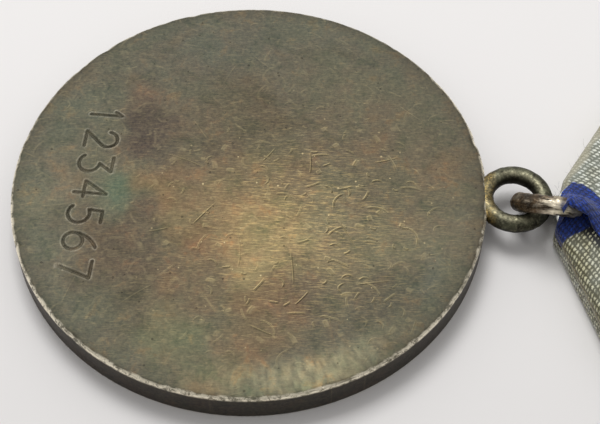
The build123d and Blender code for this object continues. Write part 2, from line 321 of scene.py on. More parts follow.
def aged_silver():
    """Silver under an uneven olive-brown patina, darker in its hollows, and worn bright on its edges, where a
    painted highlight is laid on too.
    """
    s = Shader("aged_silver")
    wear, depth, handled = s.painted("wear"), s.painted("depth"), s.painted("handled")
    colour = s.painted("tone", "Color")
    place = s.place
    broad = s.noise(place, 0.3, 4, 0.6, 0.3)
    middle = s.noise(s.moved(place, (31.0, 7.0, 3.0)), 0.6, 5, 0.68, 0.5)
    fine = s.noise(s.moved(place, (5.0, 61.0, 9.0)), 3.4, 4, 0.7)
    grain = s.noise(s.stretched(s.turned(place, radians(-4)), (1.1, 8.5, 4.0)), 1.0, 4, 0.68, 0.25)
    hair = s.noise(s.stretched(s.turned(place, radians(-10)), (1.6, 17.0, 6.0)), 1.0, 3, 0.6)
    for pattern, low, high, tint in (
        (broad, 0.4, 0.62, (0.86, 1.02, 0.98)),
        (broad, 0.45, 0.3, (1.14, 0.98, 0.86)),
        (middle, 0.54, 0.7, (1.32, 0.96, 0.7)),
        (middle, 0.47, 0.3, (0.7, 0.86, 0.84)),
    ):
        colour = s.mix(s.eased(pattern, low, high, 0.0, 0.8), colour, tint, "MULTIPLY")
    darker, paler = s.mix(0.26, colour, BLACK), s.mix(0.07, colour, linear(200, 180, 130))
    colour = s.mix(s.ranged(fine, 0.3, 0.7), darker, paler)
    lines = s.times(handled, s.times_plus(handled, 0.42, 0.07))
    colour = s.mix(s.times(lines, s.eased(grain, 0.5, 0.68)), colour, linear(206, 178, 118))
    colour = s.mix(s.times(lines, s.eased(grain, 0.46, 0.32, 0.0, 0.8)), colour, linear(52, 46, 32))
    hairs = s.times(s.times_plus(handled, 0.34, 0.02), s.ranged(hair, 0.56, 0.68))
    colour = s.mix(hairs, colour, linear(214, 192, 140))
    # gouges: a cut darkened with painted shade, and a lip thrown up beside it and brightened with a painted
    # highlight, mostly where the disc was handled
    scored = s.noise(s.moved(place, (0.0, 19.0, 0.0)), 0.16, 2, 0.5)
    busy = s.times(s.eased(scored, 0.38, 0.56, 0.35, 1.0), s.eased(handled, 0.2, 0.62, 0.15, 1.0))
    beside = s.moved(place, (0.045, -0.06, 0.0))
    cuts, lips = [], []
    for cell_mm, length, width, keep, seed, bend in GOUGES:
        cuts.append(s.marks(place, cell_mm, length, width, keep, seed, bend))
        lips.append(s.marks(beside, cell_mm, length, width * 1.3, keep, seed, bend))
    cuts, lips = s.times(s.highest(cuts), busy), s.times(s.highest(lips), busy)
    bright = s.mix(0.4, s.mix(1.0, colour, (2.3, 2.22, 2.0), "MULTIPLY"), linear(208, 192, 146))
    colour = s.mix(s.times(lips, 0.84), colour, bright)
    colour = s.mix(s.times(cuts, 0.92), colour, s.mix(0.62, colour, BLACK))
    dots = s.times(s.specks(place, 1.5, 0.1, 0.3, 2), s.ranged(handled, 0.19, 0.5))
    colour = s.mix(s.times(dots, 0.7), colour, linear(188, 170, 128))
    pits = s.times(s.specks(place, 1.4, 0.1, 0.25, 9), s.math("GREATER_THAN", handled, 0.05))
    colour = s.mix(s.times(pits, 0.5), colour, linear(40, 35, 27))
    colour = s.mix(s.times(depth, 0.72), colour, linear(44, 40, 30))
    # worn metal and a painted highlight: where the painted values ask, the colour goes nearly white
    rubbed = s.times(wear, s.eased(s.noise(place, 2.1, 4, 0.75), 0.38, 0.52, 0.22, 1.0))
    colour = s.mix(rubbed, colour, linear(254, 244, 220))
    height = s.plus(s.times_plus(fine, 0.5, s.times(grain, 0.7)), s.times(lips, 0.8))
    height = s.minus(s.minus(height, s.times(cuts, 1.8)), pits)
    rough = s.minus(s.ranged(middle, 0.3, 0.7, 0.6, 0.5), s.times(rubbed, 0.24))
    return s.finish(colour, rough, 0.6, s.bump(height, 0.035, 0.55))


# ---- the disc -------------------------------------------------------------------------------------
def arc(start, middle, end, steps=14):
    """Points along the arc through three points of a plane."""
    (ax, ay), (bx, by), (cx, cy) = start, middle, end
    a, b, c = (x * x + y * y for x, y in (start, middle, end))
    d = 2 * (ax * (by - cy) + bx * (cy - ay) + cx * (ay - by))
    ux = (a * (by - cy) + b * (cy - ay) + c * (ay - by)) / d
    uy = (a * (cx - bx) + b * (ax - cx) + c * (bx - ax)) / d
    a0, a1, a2 = (atan2(y - uy, x - ux) for x, y in (start, middle, end))
    turn = (a2 - a0) % (2 * pi)
    if (a1 - a0) % (2 * pi) > turn:
        turn -= 2 * pi
    r = sqrt((ax - ux) ** 2 + (ay - uy) ** 2)
    angles = [a0 + turn * k / steps for k in range(steps + 1)]
    return [(ux + r * cos(angle), uy + r * sin(angle)) for angle in angles]


BATCH = 1500  # vertices tried at once against a cloud of points
DIGIT_HEIGHT, DIGIT_WIDTH, DIGIT_PITCH, DIGIT_STROKE, DIGIT_DEPTH = 2.55, 1.5, 2.43, 0.26, 0.18
NUMBER_PLACE, NUMBER_TILT = (-12.3, -0.7), radians(-93.9)
NUMBER_X, NUMBER_Y = (-15.2, -9.5), 10.5  # the area round it


def digit_strokes():
    """Pen strokes of the figures 1 to 7, as on the solid, in the disc's own plane."""
    w, h = DIGIT_WIDTH / 2, DIGIT_HEIGHT
    low_bowl = arc((-w * 0.1, h * 0.6), (w, h * 0.3), (-w, h * 0.1))
    wide_bowl = arc((-w * 0.7, h * 0.58), (w, h * 0.3), (-w, h * 0.08))
    circle = arc((w, w), (0, 2 * w), (-w, w)) + arc((-w, w), (0, 0), (w, w))
    figures = [
        [[(-w * 0.5, h * 0.78), (0, h), (0, 0)]],
        [arc((-w, h * 0.74), (0, h), (w * 0.8, h * 0.56)) + [(-w, 0), (w, 0)]],
        [[(-w, h), (w * 0.9, h), (-w * 0.1, h * 0.6)] + low_bowl],
        [[(w * 0.5, 0), (w * 0.5, h), (-w, h * 0.3), (w, h * 0.3)]],
        [[(w * 0.8, h), (-w * 0.6, h), (-w * 0.7, h * 0.58)] + wide_bowl],
        [circle, arc((w * 0.6, h), (-w * 0.55, h * 0.7), (-w, w))],
        [[(-w, h), (w, h), (-w * 0.2, 0)]],
    ]
    dots = []
    for place, strokes in enumerate(figures):
        across = (place - (len(figures) - 1) / 2) * DIGIT_PITCH
        for stroke in strokes:
            stroke = np.array(stroke, float) + (across, -DIGIT_HEIGHT / 2)
            for a, b in zip(stroke[:-1], stroke[1:]):
                count = max(2, int(np.linalg.norm(b - a) / 0.03))
                dots.append(a + (b - a) * np.linspace(0, 1, count)[:, None])
    dots = np.concatenate(dots)
    c, s = cos(NUMBER_TILT), sin(NUMBER_TILT)
    return dots @ np.array([[c, s], [-s, c]]) + NUMBER_PLACE


def nearest(points, dots):
    """Each point's distance from the nearest dot, worked out batch by batch to save memory."""
    batches = np.array_split(points, len(points) // BATCH + 1)
    return np.concatenate([np.sqrt(((part[:, None] - dots) ** 2).sum(-1).min(1)) for part in batches])


PATCHES = [  # tarnish: x, y and radius in millimetres in the disc's own plane, colour, strength
    (2.0, 13.0, 8.0, (100, 102, 90), 0.5),
    (-11.0, 10.4, 6.0, (88, 89, 76), 0.55),
    (-13.5, 6.5, 3.0, (96, 98, 84), 0.4),
    (7.2, 13.8, 0.9, (78, 80, 68), 0.6),
    (6.0, 10.0, 5.0, (106, 100, 80), 0.4),
    (12.0, 7.0, 5.0, (112, 103, 84), 0.5),
    (-2.0, 6.0, 5.0, (96, 86, 68), 0.7),
    (-1.0, 8.2, 2.0, (84, 74, 56), 0.5),
    (1.8, 6.6, 1.7, (78, 66, 48), 0.55),
    (-2.5, 4.6, 1.1, (68, 60, 46), 0.6),
    (-7.8, 9.2, 2.2, (114, 86, 68), 0.5),
    (-9.4, 7.0, 1.8, (110, 84, 68), 0.4),
    (-8.6, 5.2, 1.9, (62, 48, 48), 0.8),
    (-6.4, 3.2, 1.4, (82, 74, 66), 0.5),
    (1.5, -4.0, 4.4, (176, 150, 104), 0.68),
    (3.6, -6.4, 2.8, (184, 156, 110), 0.6),
    (0.5, 0.4, 3.0, (142, 120, 82), 0.45),
    (-3.5, -2.5, 3.6, (144, 122, 86), 0.55),
    (7.5, -5.0, 4.4, (146, 132, 102), 0.6),
    (-6.2, -0.2, 2.2, (150, 112, 72), 0.6),
    (-4.4, -4.6, 1.4, (156, 108, 66), 0.45),
    (-9.5, -0.9, 2.0, (84, 114, 92), 0.66),
    (-12.0, -0.6, 1.6, (112, 112, 92), 0.4),
    (-7.6, -3.0, 1.5, (80, 64, 54), 0.6),
    (-10.8, -5.8, 3.2, (82, 71, 56), 0.75),
    (-8.0, -9.0, 3.6, (94, 80, 62), 0.62),
    (-3.6, -8.6, 2.6, (120, 98, 70), 0.4),
    (1.2, -9.8, 1.6, (140, 98, 66), 0.45),
    (4.2, -9.6, 2.2, (98, 84, 70), 0.6),
    (13.9, -8.2, 1.7, (102, 110, 104), 0.5),
    (10.9, -9.6, 2.3, (84, 82, 70), 0.6),
    (11.6, -5.6, 3.0, (130, 122, 98), 0.4),
    (10.0, -12.4, 1.9, (98, 94, 80), 0.6),
    (-1.5, -16.6, 2.2, (150, 138, 104), 0.5),
    (-5.2, -13.8, 2.6, (118, 118, 86), 0.6),
    (-9.6, -12.6, 2.6, (93, 91, 74), 0.6),
    (-15.2, -1.0, 2.2, (122, 118, 98), 0.5),
    (-14.6, -6.6, 2.4, (114, 114, 98), 0.5),
    (15.2, 2.0, 3.2, (122, 112, 90), 0.5),
    (-9.0, -6.8, 3.6, (88, 78, 64), 0.5),
    (-4.6, -5.6, 2.4, (104, 88, 66), 0.4),
    (-3.4, 3.8, 4.4, (92, 84, 68), 0.42),
    (1.2, -13.6, 3.2, (134, 107, 77), 0.55),
    (15.2, -5.2, 3.0, (134, 126, 104), 0.5),
    (-6.5, 12.0, 4.0, (94, 94, 82), 0.5),
    (-2.0, 14.8, 5.0, (90, 92, 82), 0.6),
]
PATINA = 0.56  # how much darker the patina is laid on than it looks, because the metal under it shines


def toward(tone, colour, share):
    """Colours moved toward one sRGB colour, by each vertex's share."""
    return tone + (np.array(linear(*colour)) - tone) * share[:, None]


def disc_tone(x, y):
    """The disc's broad colours, which the material then breaks up."""
    r = np.hypot(x, y)
    rim, middle = np.array(linear(100, 100, 86)), np.array(linear(106, 98, 80))
    tone = rim + (middle - rim) * smoothed(r, 17.0, 9.0)[:, None]
    wobble_x, wobble_y = x + 1.5 * lattice(x, y, 3.1, 5), y + 1.5 * lattice(x, y, 2.7, 6)
    wobble_x, wobble_y = wobble_x + 0.5 * lattice(x, y, 1.0, 15), wobble_y + 0.5 * lattice(x, y, 0.9, 16)
    for px, py, radius, colour, strength in PATCHES:
        away = ((wobble_x - px) ** 2 + (wobble_y - py) ** 2) / radius**2
        tone = toward(tone, colour, np.exp(-(away**1.4)) * min(1.0, 1.2 * strength))
    turn = np.degrees(np.arctan2(y, x))
    pale = 0.85 * smoothed(r, 14.9, 17.0) * bell(turn + 0.8 * (r - 16), -71, 18)
    pale *= 0.62 + 0.38 * lattice(np.radians(turn) * 17, r * 0.4, 0.22, 17)
    tone = toward(tone, (206, 200, 158), np.clip(pale, 0, 0.9))
    rosy = 0.5 + 0.5 * lattice(wobble_x, wobble_y, 2.9, 18)
    tone *= 1 + rosy[:, None] * np.array([0.07, -0.03, -0.06])
    tone *= (1 - 0.22 * smoothed(r, 17.2, 18.3))[:, None]
    return tone * PATINA


def star_outline(radius, waist=0.42):
    """A five-pointed star about the origin, its waist a share of its radius."""
    reach = [radius if k % 2 == 0 else radius * waist for k in range(10)]
    return np.array([(reach[k] * cos(radians(36 * k)), reach[k] * sin(radians(36 * k))) for k in range(10)])


def inside_by(x, y, outline):
    """Distance from a closed outline, positive inside it."""
    away = np.full(len(x), 1e9)
    inside = np.zeros(len(x), bool)
    for (ax, ay), (bx, by) in zip(outline, np.roll(outline, -1, 0)):
        dx, dy = bx - ax, by - ay
        t = np.clip(((x - ax) * dx + (y - ay) * dy) / (dx * dx + dy * dy), 0, 1)
        away = np.minimum(away, np.hypot(x - ax - t * dx, y - ay - t * dy))
        crosses = (ay > y) != (by > y)
        at = ax + (y - ay) / np.where(by == ay, 1e-9, by - ay) * dx
        inside ^= crosses & (x < at)
    return np.where(inside, away, -away)


STAR_RADIUS, STAR_BORDER, RELIEF, FACE_HEIGHT, FACE_RADIUS = 7.4, 0.75, 0.3, 0.5, 17.0
LEAVES, LEAF_RING = 8, 13.3  # leaves on each side, and how far their middles are from the disc's
LEAF_LENGTH, LEAF_WIDTH = 2.1, 0.82  # halves of each


def face_relief(x, y):
    """How far the wreath and the star's border stand out of the medal's face."""
    rise = np.zeros(len(x))
    for side in (-1, 1):
        for count in range(LEAVES):
            angle = radians(180 + side * (30 + 17 * count))
            slant = radians(90 - side * 24)
            lx = x * cos(angle) + y * sin(angle) - LEAF_RING
            ly = -x * sin(angle) + y * cos(angle)
            u = (lx * cos(slant) + ly * sin(slant)) / LEAF_LENGTH
            v = (-lx * sin(slant) + ly * cos(slant)) / LEAF_WIDTH
            leaf = np.clip(1 - np.abs(u) ** 2.2 - np.abs(v) ** 1.6, 0, 1)
            vein = 0.22 * bell(v, 0, 0.13) * (np.abs(u) < 0.9)
            rise = np.maximum(rise, RELIEF * (np.sqrt(leaf) * (0.95 - vein)))
    border = inside_by(x, y, star_outline(STAR_RADIUS))
    band = smoothed(border, -0.02, 0.16) * smoothed(border, STAR_BORDER + 0.02, STAR_BORDER - 0.14)
    return np.maximum(rise, RELIEF * band)


STRUCK_RADIUS = round(disc_radius, 2)  # the frame's disc is many-sided, so it measures a hair less
TOP_EDGE = (  # inset from the disc's side and drop below its top, where the top rolls over
    (0.55, 0.0), (0.4, 0.0), (0.28, 0.0), (0.2, 0.012),
    (0.13, 0.04), (0.07, 0.085), (0.025, 0.15), (0.0, 0.24)
)
LOW_EDGE = (  # inset from the side and height, round the lower edge, across the rim and up to the face
    (0.01, 0.11), (0.06, 0.04), (0.13, 0.0), (0.5, 0.0), (0.9, 0.0),
    (1.14, 0.01), (1.22, 0.05), (1.3, 0.25), (1.4, 0.44), (1.48, 0.49)
)
DENTS, BITES = 46, 80
THUMB_PLACE, THUMB_SPREAD = (4, -3.5), 68  # where the top was handled most; spread in square millimetres


def disc_rings():
    """Rings of vertices from the middle of the top, over the side, to the middle of the face:
    radius, height, angles and zone. They are closest together where the number is."""
    around = lambda count: np.arange(count) * 2 * pi / count
    degrees = (np.arange(0, 141, 1.2), np.arange(141, 219, 0.4), np.arange(219, 359.9, 1.2))
    edge, face = around(720), around(420)
    rings = [(r, disc_top, around(90), "top") for r in np.arange(0.4, 3.0, 0.4)]
    rings += [(r, disc_top, around(300), "top") for r in np.arange(3.0, 10.8, 0.26)]
    rings += [(r, disc_top, np.radians(np.concatenate(degrees)), "top") for r in np.arange(10.8, 15.9, 0.08)]
    rings += [(r, disc_top, edge, "top") for r in np.arange(16.0, 17.9, 0.22)]
    rings += [(STRUCK_RADIUS - inset, disc_top - drop, edge, "edge") for inset, drop in TOP_EDGE]
    rings += [(STRUCK_RADIUS, z, edge, "side") for z in (2.3, 2.0, 1.5, 1.0, 0.5, 0.2)]
    rings += [(STRUCK_RADIUS - inset, z, edge, "low") for inset, z in LOW_EDGE]
    rings += [(r, FACE_HEIGHT, face, "face") for r in np.arange(16.8, 3.2, -0.2)]
    rings += [(r, FACE_HEIGHT, around(100), "face") for r in np.arange(3.0, 0.3, -0.4)]
    return rings


def disc_net(rings):
    """The rings' vertices, zones and faces, closed by a fan in the middle of the top and of the face."""
    points, zones, faces, total, last = [], [], [], 0, None
    for r, z, angles, zone in rings:
        ids = list(range(total, total + len(angles)))
        points.append(np.stack([r * np.cos(angles), r * np.sin(angles), np.full(len(angles), z)], 1))
        zones += [zone] * len(angles)
        if last:
            faces += zip_rings(*last, ids, angles)
        last = (ids, angles)
        total += len(angles)
    first, last = range(len(rings[0][2])), last[0]
    faces += [(total, i, (i + 1) % len(first)) for i in first]
    faces += [(total + 1, last[(i + 1) % len(last)], last[i]) for i in range(len(last))]
    points.append([(0, 0, disc_top), (0, 0, FACE_HEIGHT)])
    return np.concatenate(points), np.array(zones + ["top", "face"]), faces


def stamp_number(x, y, z, zones, depth, wear):
    """Sinks the number into the top, with a lip of metal pushed up beside each stroke."""
    near = (zones == "top") & (x > NUMBER_X[0]) & (x < NUMBER_X[1]) & (np.abs(y) < NUMBER_Y)
    away = nearest(np.stack([x[near], y[near]], 1), digit_strokes())
    half = DIGIT_STROKE / 2
    groove = smoothed(away, half, 0.0) * (0.85 + 0.3 * lattice(x[near], y[near], 2.0, 8))
    lip = bell(away, half + 0.04, 0.07) * (0.6 + 0.4 * lattice(x[near], y[near], 0.8, 9))
    z[near] += -DIGIT_DEPTH * groove + 0.028 * lip
    depth[near] = 0.75 * smoothed(groove, 0.35, 0.95)
    wear[near] = 0.16 * lip


def dent_top(x, y, z, top, random):
    """Shallow oval dents all over the top."""
    for _ in range(DENTS):
        distance, turn = random.uniform(2, 17.3), random.uniform(-pi, pi)
        size, drop = random.uniform(0.25, 0.6), random.uniform(0.015, 0.05)
        dx, dy = x - distance * cos(turn), y - distance * sin(turn)
        c, s = cos(turn * 3), sin(turn * 3)
        bowl = np.exp(-((dx * c + dy * s) ** 2 + 3 * (dy * c - dx * s) ** 2) / size**2)
        z[top] -= drop * bowl[top]


def edge_bites(angle, random):
    """How deep the top's edge is bitten at each bearing. About one bite in eight is bigger and deeper."""
    bite = np.zeros(len(angle))
    for _ in range(BITES):
        turn, size, drop = random.uniform(-pi, pi), random.uniform(0.12, 0.35), random.uniform(0.004, 0.03)
        if random.rand() < 0.12:
            size, drop = size * 1.5, drop * 3.0
        bite += drop * bell(((angle - turn + pi) % (2 * pi) - pi) * disc_radius, 0, size)
    return bite


def edge_wear(r, angle, z, zones):
    """The bright line along the top's edge, worn metal with a painted highlight, dimmer on the disc's far
    side and broken here and there, and a faint worn one on the low edge.
    """
    along, flat = angle * disc_radius, 0 * angle
    ring_start = STRUCK_RADIUS - 0.24 + 0.08 * lattice(along, flat, 0.45, 23)
    ring = smoothed(r, ring_start, STRUCK_RADIUS - 0.08) * (zones == "edge")
    broken = smoothed(lattice(along, z * 9, 0.3, 21) + 0.8 * lattice(along, flat, 1.9, 22), -1.0, 0.1)
    # painted highlight: the line is made dimmer on the disc's far side, away from the camera
    facing = 0.62 + 0.38 * smoothed(np.cos(angle + radians(70)), -0.75, -0.1)
    low_line = 0.4 * (zones == "low") * bell(r, STRUCK_RADIUS - 0.06, 0.08)
    return np.maximum(ring * (0.3 + 0.7 * broken) * facing, low_line)


def build_disc():
    """The struck disc: its dented top with the stamped number, its bitten edge and the face below."""
    random = np.random.RandomState(7)
    points, zones, faces = disc_net(disc_rings())
    x, y, z = points.T.copy()
    r, angle = np.hypot(x, y), np.arctan2(y, x)
    depth, wear = np.zeros(len(x)), np.zeros(len(x))
    top = (zones == "top") | (zones == "edge")
    z[top] += 0.012 * lattice(x[top], y[top], 2.3, 1) + 0.018 * lattice(x[top], y[top], 6.0, 2)
    z[top] -= 0.03 * smoothed(r[top], 0.9 * disc_radius, disc_radius)
    stamp_number(x, y, z, zones, depth, wear)
    dent_top(x, y, z, top, random)
    bite = edge_bites(angle, random)
    hold = np.where(zones == "edge", smoothed(r, STRUCK_RADIUS - 0.5, STRUCK_RADIUS - 0.15), 1.0)
    hold *= (zones == "edge") | ((zones == "side") & (z > 2.2))
    swell = np.clip(0.012 * lattice(angle * disc_radius, 0 * angle, 1.7, 12), 0, 1)
    shrunk = 1 - hold * (bite * 0.8 + swell) / np.maximum(r, 1)
    x, y = x * shrunk, y * shrunk
    z -= hold * bite * 0.7
    wear = np.maximum(wear, edge_wear(r, angle, z, zones))
    depth = np.maximum(depth, np.clip(bite * 5, 0, 0.7) * hold)
    face = (zones == "face") | (zones == "low")
    rise = face_relief(x[face], y[face]) * (r[face] < FACE_RADIUS)
    z[face] += 0.01 * lattice(x[face], y[face], 2.0, 31) * (r[face] < FACE_RADIUS) - rise
    wear[face] = np.maximum(wear[face], 0.45 * smoothed(rise, 0.2, 0.3))
    foot = smoothed(r[face], 17.3, 17.05) * smoothed(r[face], 16.5, FACE_RADIUS)
    depth[face] = np.maximum(depth[face], 0.45 * foot)
    c, s = cos(disc_turn), sin(disc_turn)
    points = np.stack([x * c - y * s, x * s + y * c, np.maximum(z, 0.0)], 1)
    disc = make_piece("medal_disc_struck", points, faces, aged_silver(), "medal")
    tone = disc_tone(x, y)
    side = (zones == "side") | ((zones == "low") & (r > 18.2))
    # painted shade: the side wall is laid on much darker than the top
    tone[side] = linear(52, 46, 45)
    tone[face & ~side] = linear(112, 108, 92)
    from_thumb = (x - THUMB_PLACE[0]) ** 2 + (y - THUMB_PLACE[1]) ** 2
    handled = np.where(zones == "top", 0.2 + 0.8 * np.exp(-(from_thumb / THUMB_SPREAD)), 0.12)
    handled[side] = 0.0
    paint(disc, tone=np.c_[tone, np.ones(len(tone))], wear=wear, depth=depth, handled=handled)
    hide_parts("medal_disc")


build_disc()


# ---- the rings ------------------------------------------------------------------------------------
def wire_silver(name, base, dark, bright, gold=None, streak=0.0):
    """Old silver wire: mottled patina, brightened where it is worn and where a highlight is painted, and
    darkened where shade is painted.
    """
    s = Shader(name)
    base, dark, bright = linear(*base), linear(*dark), linear(*bright)
    mottle = s.noise(s.place, 1.3, 5, 0.65, 0.6)
    fine = s.noise(s.moved(s.place, (9.0, 4.0, 7.0)), 5.0, 4, 0.7)
    run = s.noise(s.painted("course", "Vector"), 1.0, 4, 0.6, 0.4)
    colour = s.mix(s.eased(mottle, 0.36, 0.62), dark, base)
    colour = s.mix(s.ranged(fine, 0.5, 0.75, 0.0, 0.3), colour, bright)
    colour = s.mix(s.eased(run, 0.55, 0.36, 0.0, 0.75 * streak), colour, dark)
    if gold:
        patchy = s.times(s.painted("solder"), s.eased(fine, 0.42, 0.58, 0.2, 1.0))
        colour = s.mix(patchy, colour, linear(*gold))
    rubbed = s.eased(run, 0.36, 0.56) if streak else s.eased(fine, 0.36, 0.6, 0.35, 1.0)
    # worn metal and a painted highlight, as the painted values give them
    rubbed = s.times(s.painted("wear"), rubbed)
    colour = s.mix(rubbed, colour, bright)
    # painted shade: darker where the painted values give shade
    colour = s.mix(s.times(s.painted("hollow"), 0.85), colour, s.mix(0.35, dark, BLACK))
    height = s.times_plus(run, 1.2 * streak, s.plus(s.times(mottle, 0.8), s.times(fine, 0.3)))
    return s.finish(colour, s.ranged(rubbed, 0.0, 1.0, 0.48, 0.32), 0.75, s.bump(height, 0.09, 0.6))


def uneven_ring(name, centre, u_axis, v_axis, ring, wire, body, material, seed, rough_mm):
    """A closed ring of wire whose surface is lumpy, with its vertices, their outward directions,
    the lumps and how far each vertex is to the ring's outer side, from -1 to 1."""
    count_ring, count_wire = 168, 44
    normal = np.cross(u_axis, v_axis)
    turn = np.arange(count_ring) * 2 * pi / count_ring
    around = np.arange(count_wire) * 2 * pi / count_wire
    turn, around = (a.ravel() for a in np.meshgrid(turn, around, indexing="ij"))
    outward = np.cos(turn)[:, None] * u_axis + np.sin(turn)[:, None] * v_axis
    side = np.cos(around)[:, None] * outward + np.sin(around)[:, None] * normal
    lump = lattice(np.cos(turn) * 5 + side[:, 0] * 2, np.sin(turn) * 5 + side[:, 2] * 2, 0.9, seed)
    fine = lattice(np.cos(turn) * 12 + side[:, 1] * 3, np.sin(turn) * 12 + side[:, 2] * 3, 0.8, seed + 1)
    radius = wire + rough_mm * (0.7 * lump + 0.4 * fine)
    points = np.array(centre) + outward * ring + side * radius[:, None]
    piece = make_piece(name, points, tube_faces(count_ring, count_wire, closed=True), material, body)
    course = np.stack([np.cos(around) * 2.4, np.sin(around) * 2.4, np.abs(turn - pi) * ring * 0.8], 1)
    paint(piece, course=course)
    return piece, points, side, lump, np.cos(around)


ABOUT = np.array([cos(disc_turn), sin(disc_turn), 0.0])  # from the disc's centre to the eyelet's
ASIDE = np.array([-sin(disc_turn), cos(disc_turn), 0.0])
EYELET_SPARE, EYELET_ROUGH = 0.035, 0.03  # slimmer than the frame's wire, to leave room for its lumps
LINK_WIRE, LINK_SPARE, LINK_ROUGH = 0.74, 0.02, 0.07
BEAD_HALF, BEAD_ANGLE = (0.6, 0.9, 0.62), 0.066  # half sizes; angle from the eyelet, about the disc


def build_eyelet():
    """The eyelet's wire, with painted shade inside and underneath and a painted highlight along its crest,
    with brassy solder near the disc.
    """
    silver = wire_silver("eyelet_silver", (86, 86, 68), (44, 42, 31), (196, 190, 158), (146, 124, 72))
    wire = eye_wire - EYELET_SPARE
    eyelet, points, side, lump, out = uneven_ring(
        "eyelet_wire", eye_centre, ABOUT, ASIDE, eye_ring, wire, "medal", silver, 41, EYELET_ROUGH
    )
    reach = np.hypot(points[:, 0], points[:, 1]) - disc_radius
    behind = (points - eye_centre) @ ASIDE
    up = side[:, 2]
    # painted highlight: a band along the wire's top, on its inside and far half, and a weaker one on its near
    # side
    crest = 0.5 * bell(up, 0.93, 0.16) * smoothed(-out, -0.1, 0.25) * smoothed(behind, -0.6, 0.6)
    low_crest = 0.3 * smoothed(up, 0.75, 1.0) * smoothed(behind, 0.0, -1.0)
    wear = np.clip(np.maximum(crest, low_crest) * (0.8 + 0.4 * lump), 0, 1)
    # painted shade: dark inside the ring and on the wire's underside
    inner = smoothed(-out, 0.25, 0.8) * smoothed(up, 0.85, 0.4)
    hollow = np.maximum(inner, smoothed(up, 0.25, -0.35) * 0.9)
    paint(eyelet, solder=smoothed(reach, 0.95, 0.35) * 0.85, wear=wear, hollow=hollow)
    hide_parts("suspension_eyelet")


def build_solder():
    """Two uneven beads of solder where the eyelet meets the disc."""
    solder = wire_silver("solder", (150, 122, 64), (78, 64, 36), (206, 186, 128))
    points, faces, rows, columns = [], [], 22, 30
    for sign in (-1, 1):
        bearing = disc_turn + sign * BEAD_ANGLE
        outward, height = np.array([cos(bearing), sin(bearing), 0]), (0, 0, eye_centre[2] - 0.08)
        middle = outward * (disc_radius + 0.1) + height
        faces += tube_faces(rows, columns, len(points))
        for i in range(rows + 1):
            for j in range(columns):
                a, b = pi * i / rows, 2 * pi * j / columns
                way = np.array([sin(a) * cos(b), sin(a) * sin(b), cos(a)])
                size = 1 + 0.2 * float(lattice(way[0] * 2 + sign, way[1] * 2 + way[2], 0.7, 52))
                wide, deep, high = way * BEAD_HALF
                points.append(middle + (ABOUT * wide + ASIDE * deep + np.array([0, 0, high])) * size)
    points = np.array(points)
    bead = make_piece("solder_beads", points, faces, solder, "medal")
    # painted shade on the beads' lower part
    hollow = smoothed(points[:, 2], eye_centre[2] + 0.2, eye_centre[2] - 0.3)
    paint(bead, wear=[0.35] * len(points), hollow=hollow, course=points)
    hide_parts("eyelet_solder")


def build_link():
    """The link ring, streaked brown, with a painted highlight on its upper side toward the end away from the
    disc and painted shade underneath.
    """
    link_u = np.array([1.0, 0.0, 0.0])
    link_v = np.cross(link_normal, link_u)
    silver = wire_silver("link_silver", (104, 84, 60), (40, 31, 21), (252, 240, 214), streak=1.0)
    ring = link_outer - LINK_WIRE - LINK_SPARE
    link, points, side, lump, _ = uneven_ring(
        "link_wire_ring", link_centre, link_u, link_v, ring, LINK_WIRE, "link", silver, 61, LINK_ROUGH
    )
    up = side[:, 2]
    # painted highlight: one side of the wire, growing toward the end away from the disc, with glints on the
    # lumps
    high = smoothed(side @ np.cross(link_u, link_normal) + 0.6 * side @ -link_normal, -0.1, 0.75)
    bright = smoothed(points[:, 0], link_centre[0] - 1.1, link_centre[0] + 0.5) * high
    glint = 0.4 * smoothed(lump, -0.2, 0.6) * smoothed(up, 0.3, 0.9)
    wear = np.clip(np.maximum(bright * (1.1 + 0.3 * lump), glint), 0, 1)
    # painted shade on the wire's underside
    paint(link, wear=wear, hollow=smoothed(up, -0.05, -0.6) * 0.8)
    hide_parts("link_ring")
    return points


build_eyelet()
build_solder()
ring_points = build_link()


# ---- the ribbon -----------------------------------------------------------------------------------
RIB, WARP, CLOTH = 0.43, 0.31, 0.24  # pitch of the ribs and of the warp threads; thickness of the silk
APEX_HALF, V_ANGLE = 1.51, radians(65)  # the pointed end: half its flat tip, and its sides' lean
FRONT_ROLL, FLAP_ROLL, FOLD_ROLL = 0.55, 0.75, 0.5  # radii where the silk turns over the block's edges
SIDE_RISE, SIDE_GAP = 1.35, 0.05  # how far the silk runs along the sides, and how far short of the width
UPPER_DROP, LOWER_DROP = 0.03, 0.33  # how far the two flaps lie below the ribbon's top
COVER_START = cover_x - block_x
RING_ROOM = 0.42  # how far the tip is held back for the eyelet
RING_STEP = 9  # degrees between the places of the turning ring that the silk clears
TURNED_OVER, UNDER_COVER = 5.4, 1.6  # how far the front runs down the back, the flaps under the back plate
STRIPE_WIDTH = 2.3
FREE_POINT, FREE_ANGLE = (0.95, 0.0), radians(-45.5)  # the upper flap's free edge: a place on it, its slope
LOWER_START = (0.5, -3.17)  # where the lower flap's stripe begins
LOWER_ANGLE, LOWER_STRIPE_ANGLE = radians(38), radians(35.5)  # slopes of its free edge and of its stripe
HOOD_SIDE, HOOD_END = 1.55, 2.4  # how far the hood reaches to the lower side and up the block
UPPER_STRIPE = (  # the blue stripe's edge on the upper flap: x and y
    (-4.0, 0.13, 1.13, 1.97, 2.63, 3.27, 5.3, 14.0),
    (1.1, 1.68, 2.15, 2.05, 1.68, 1.1, -0.95, -9.8),
)


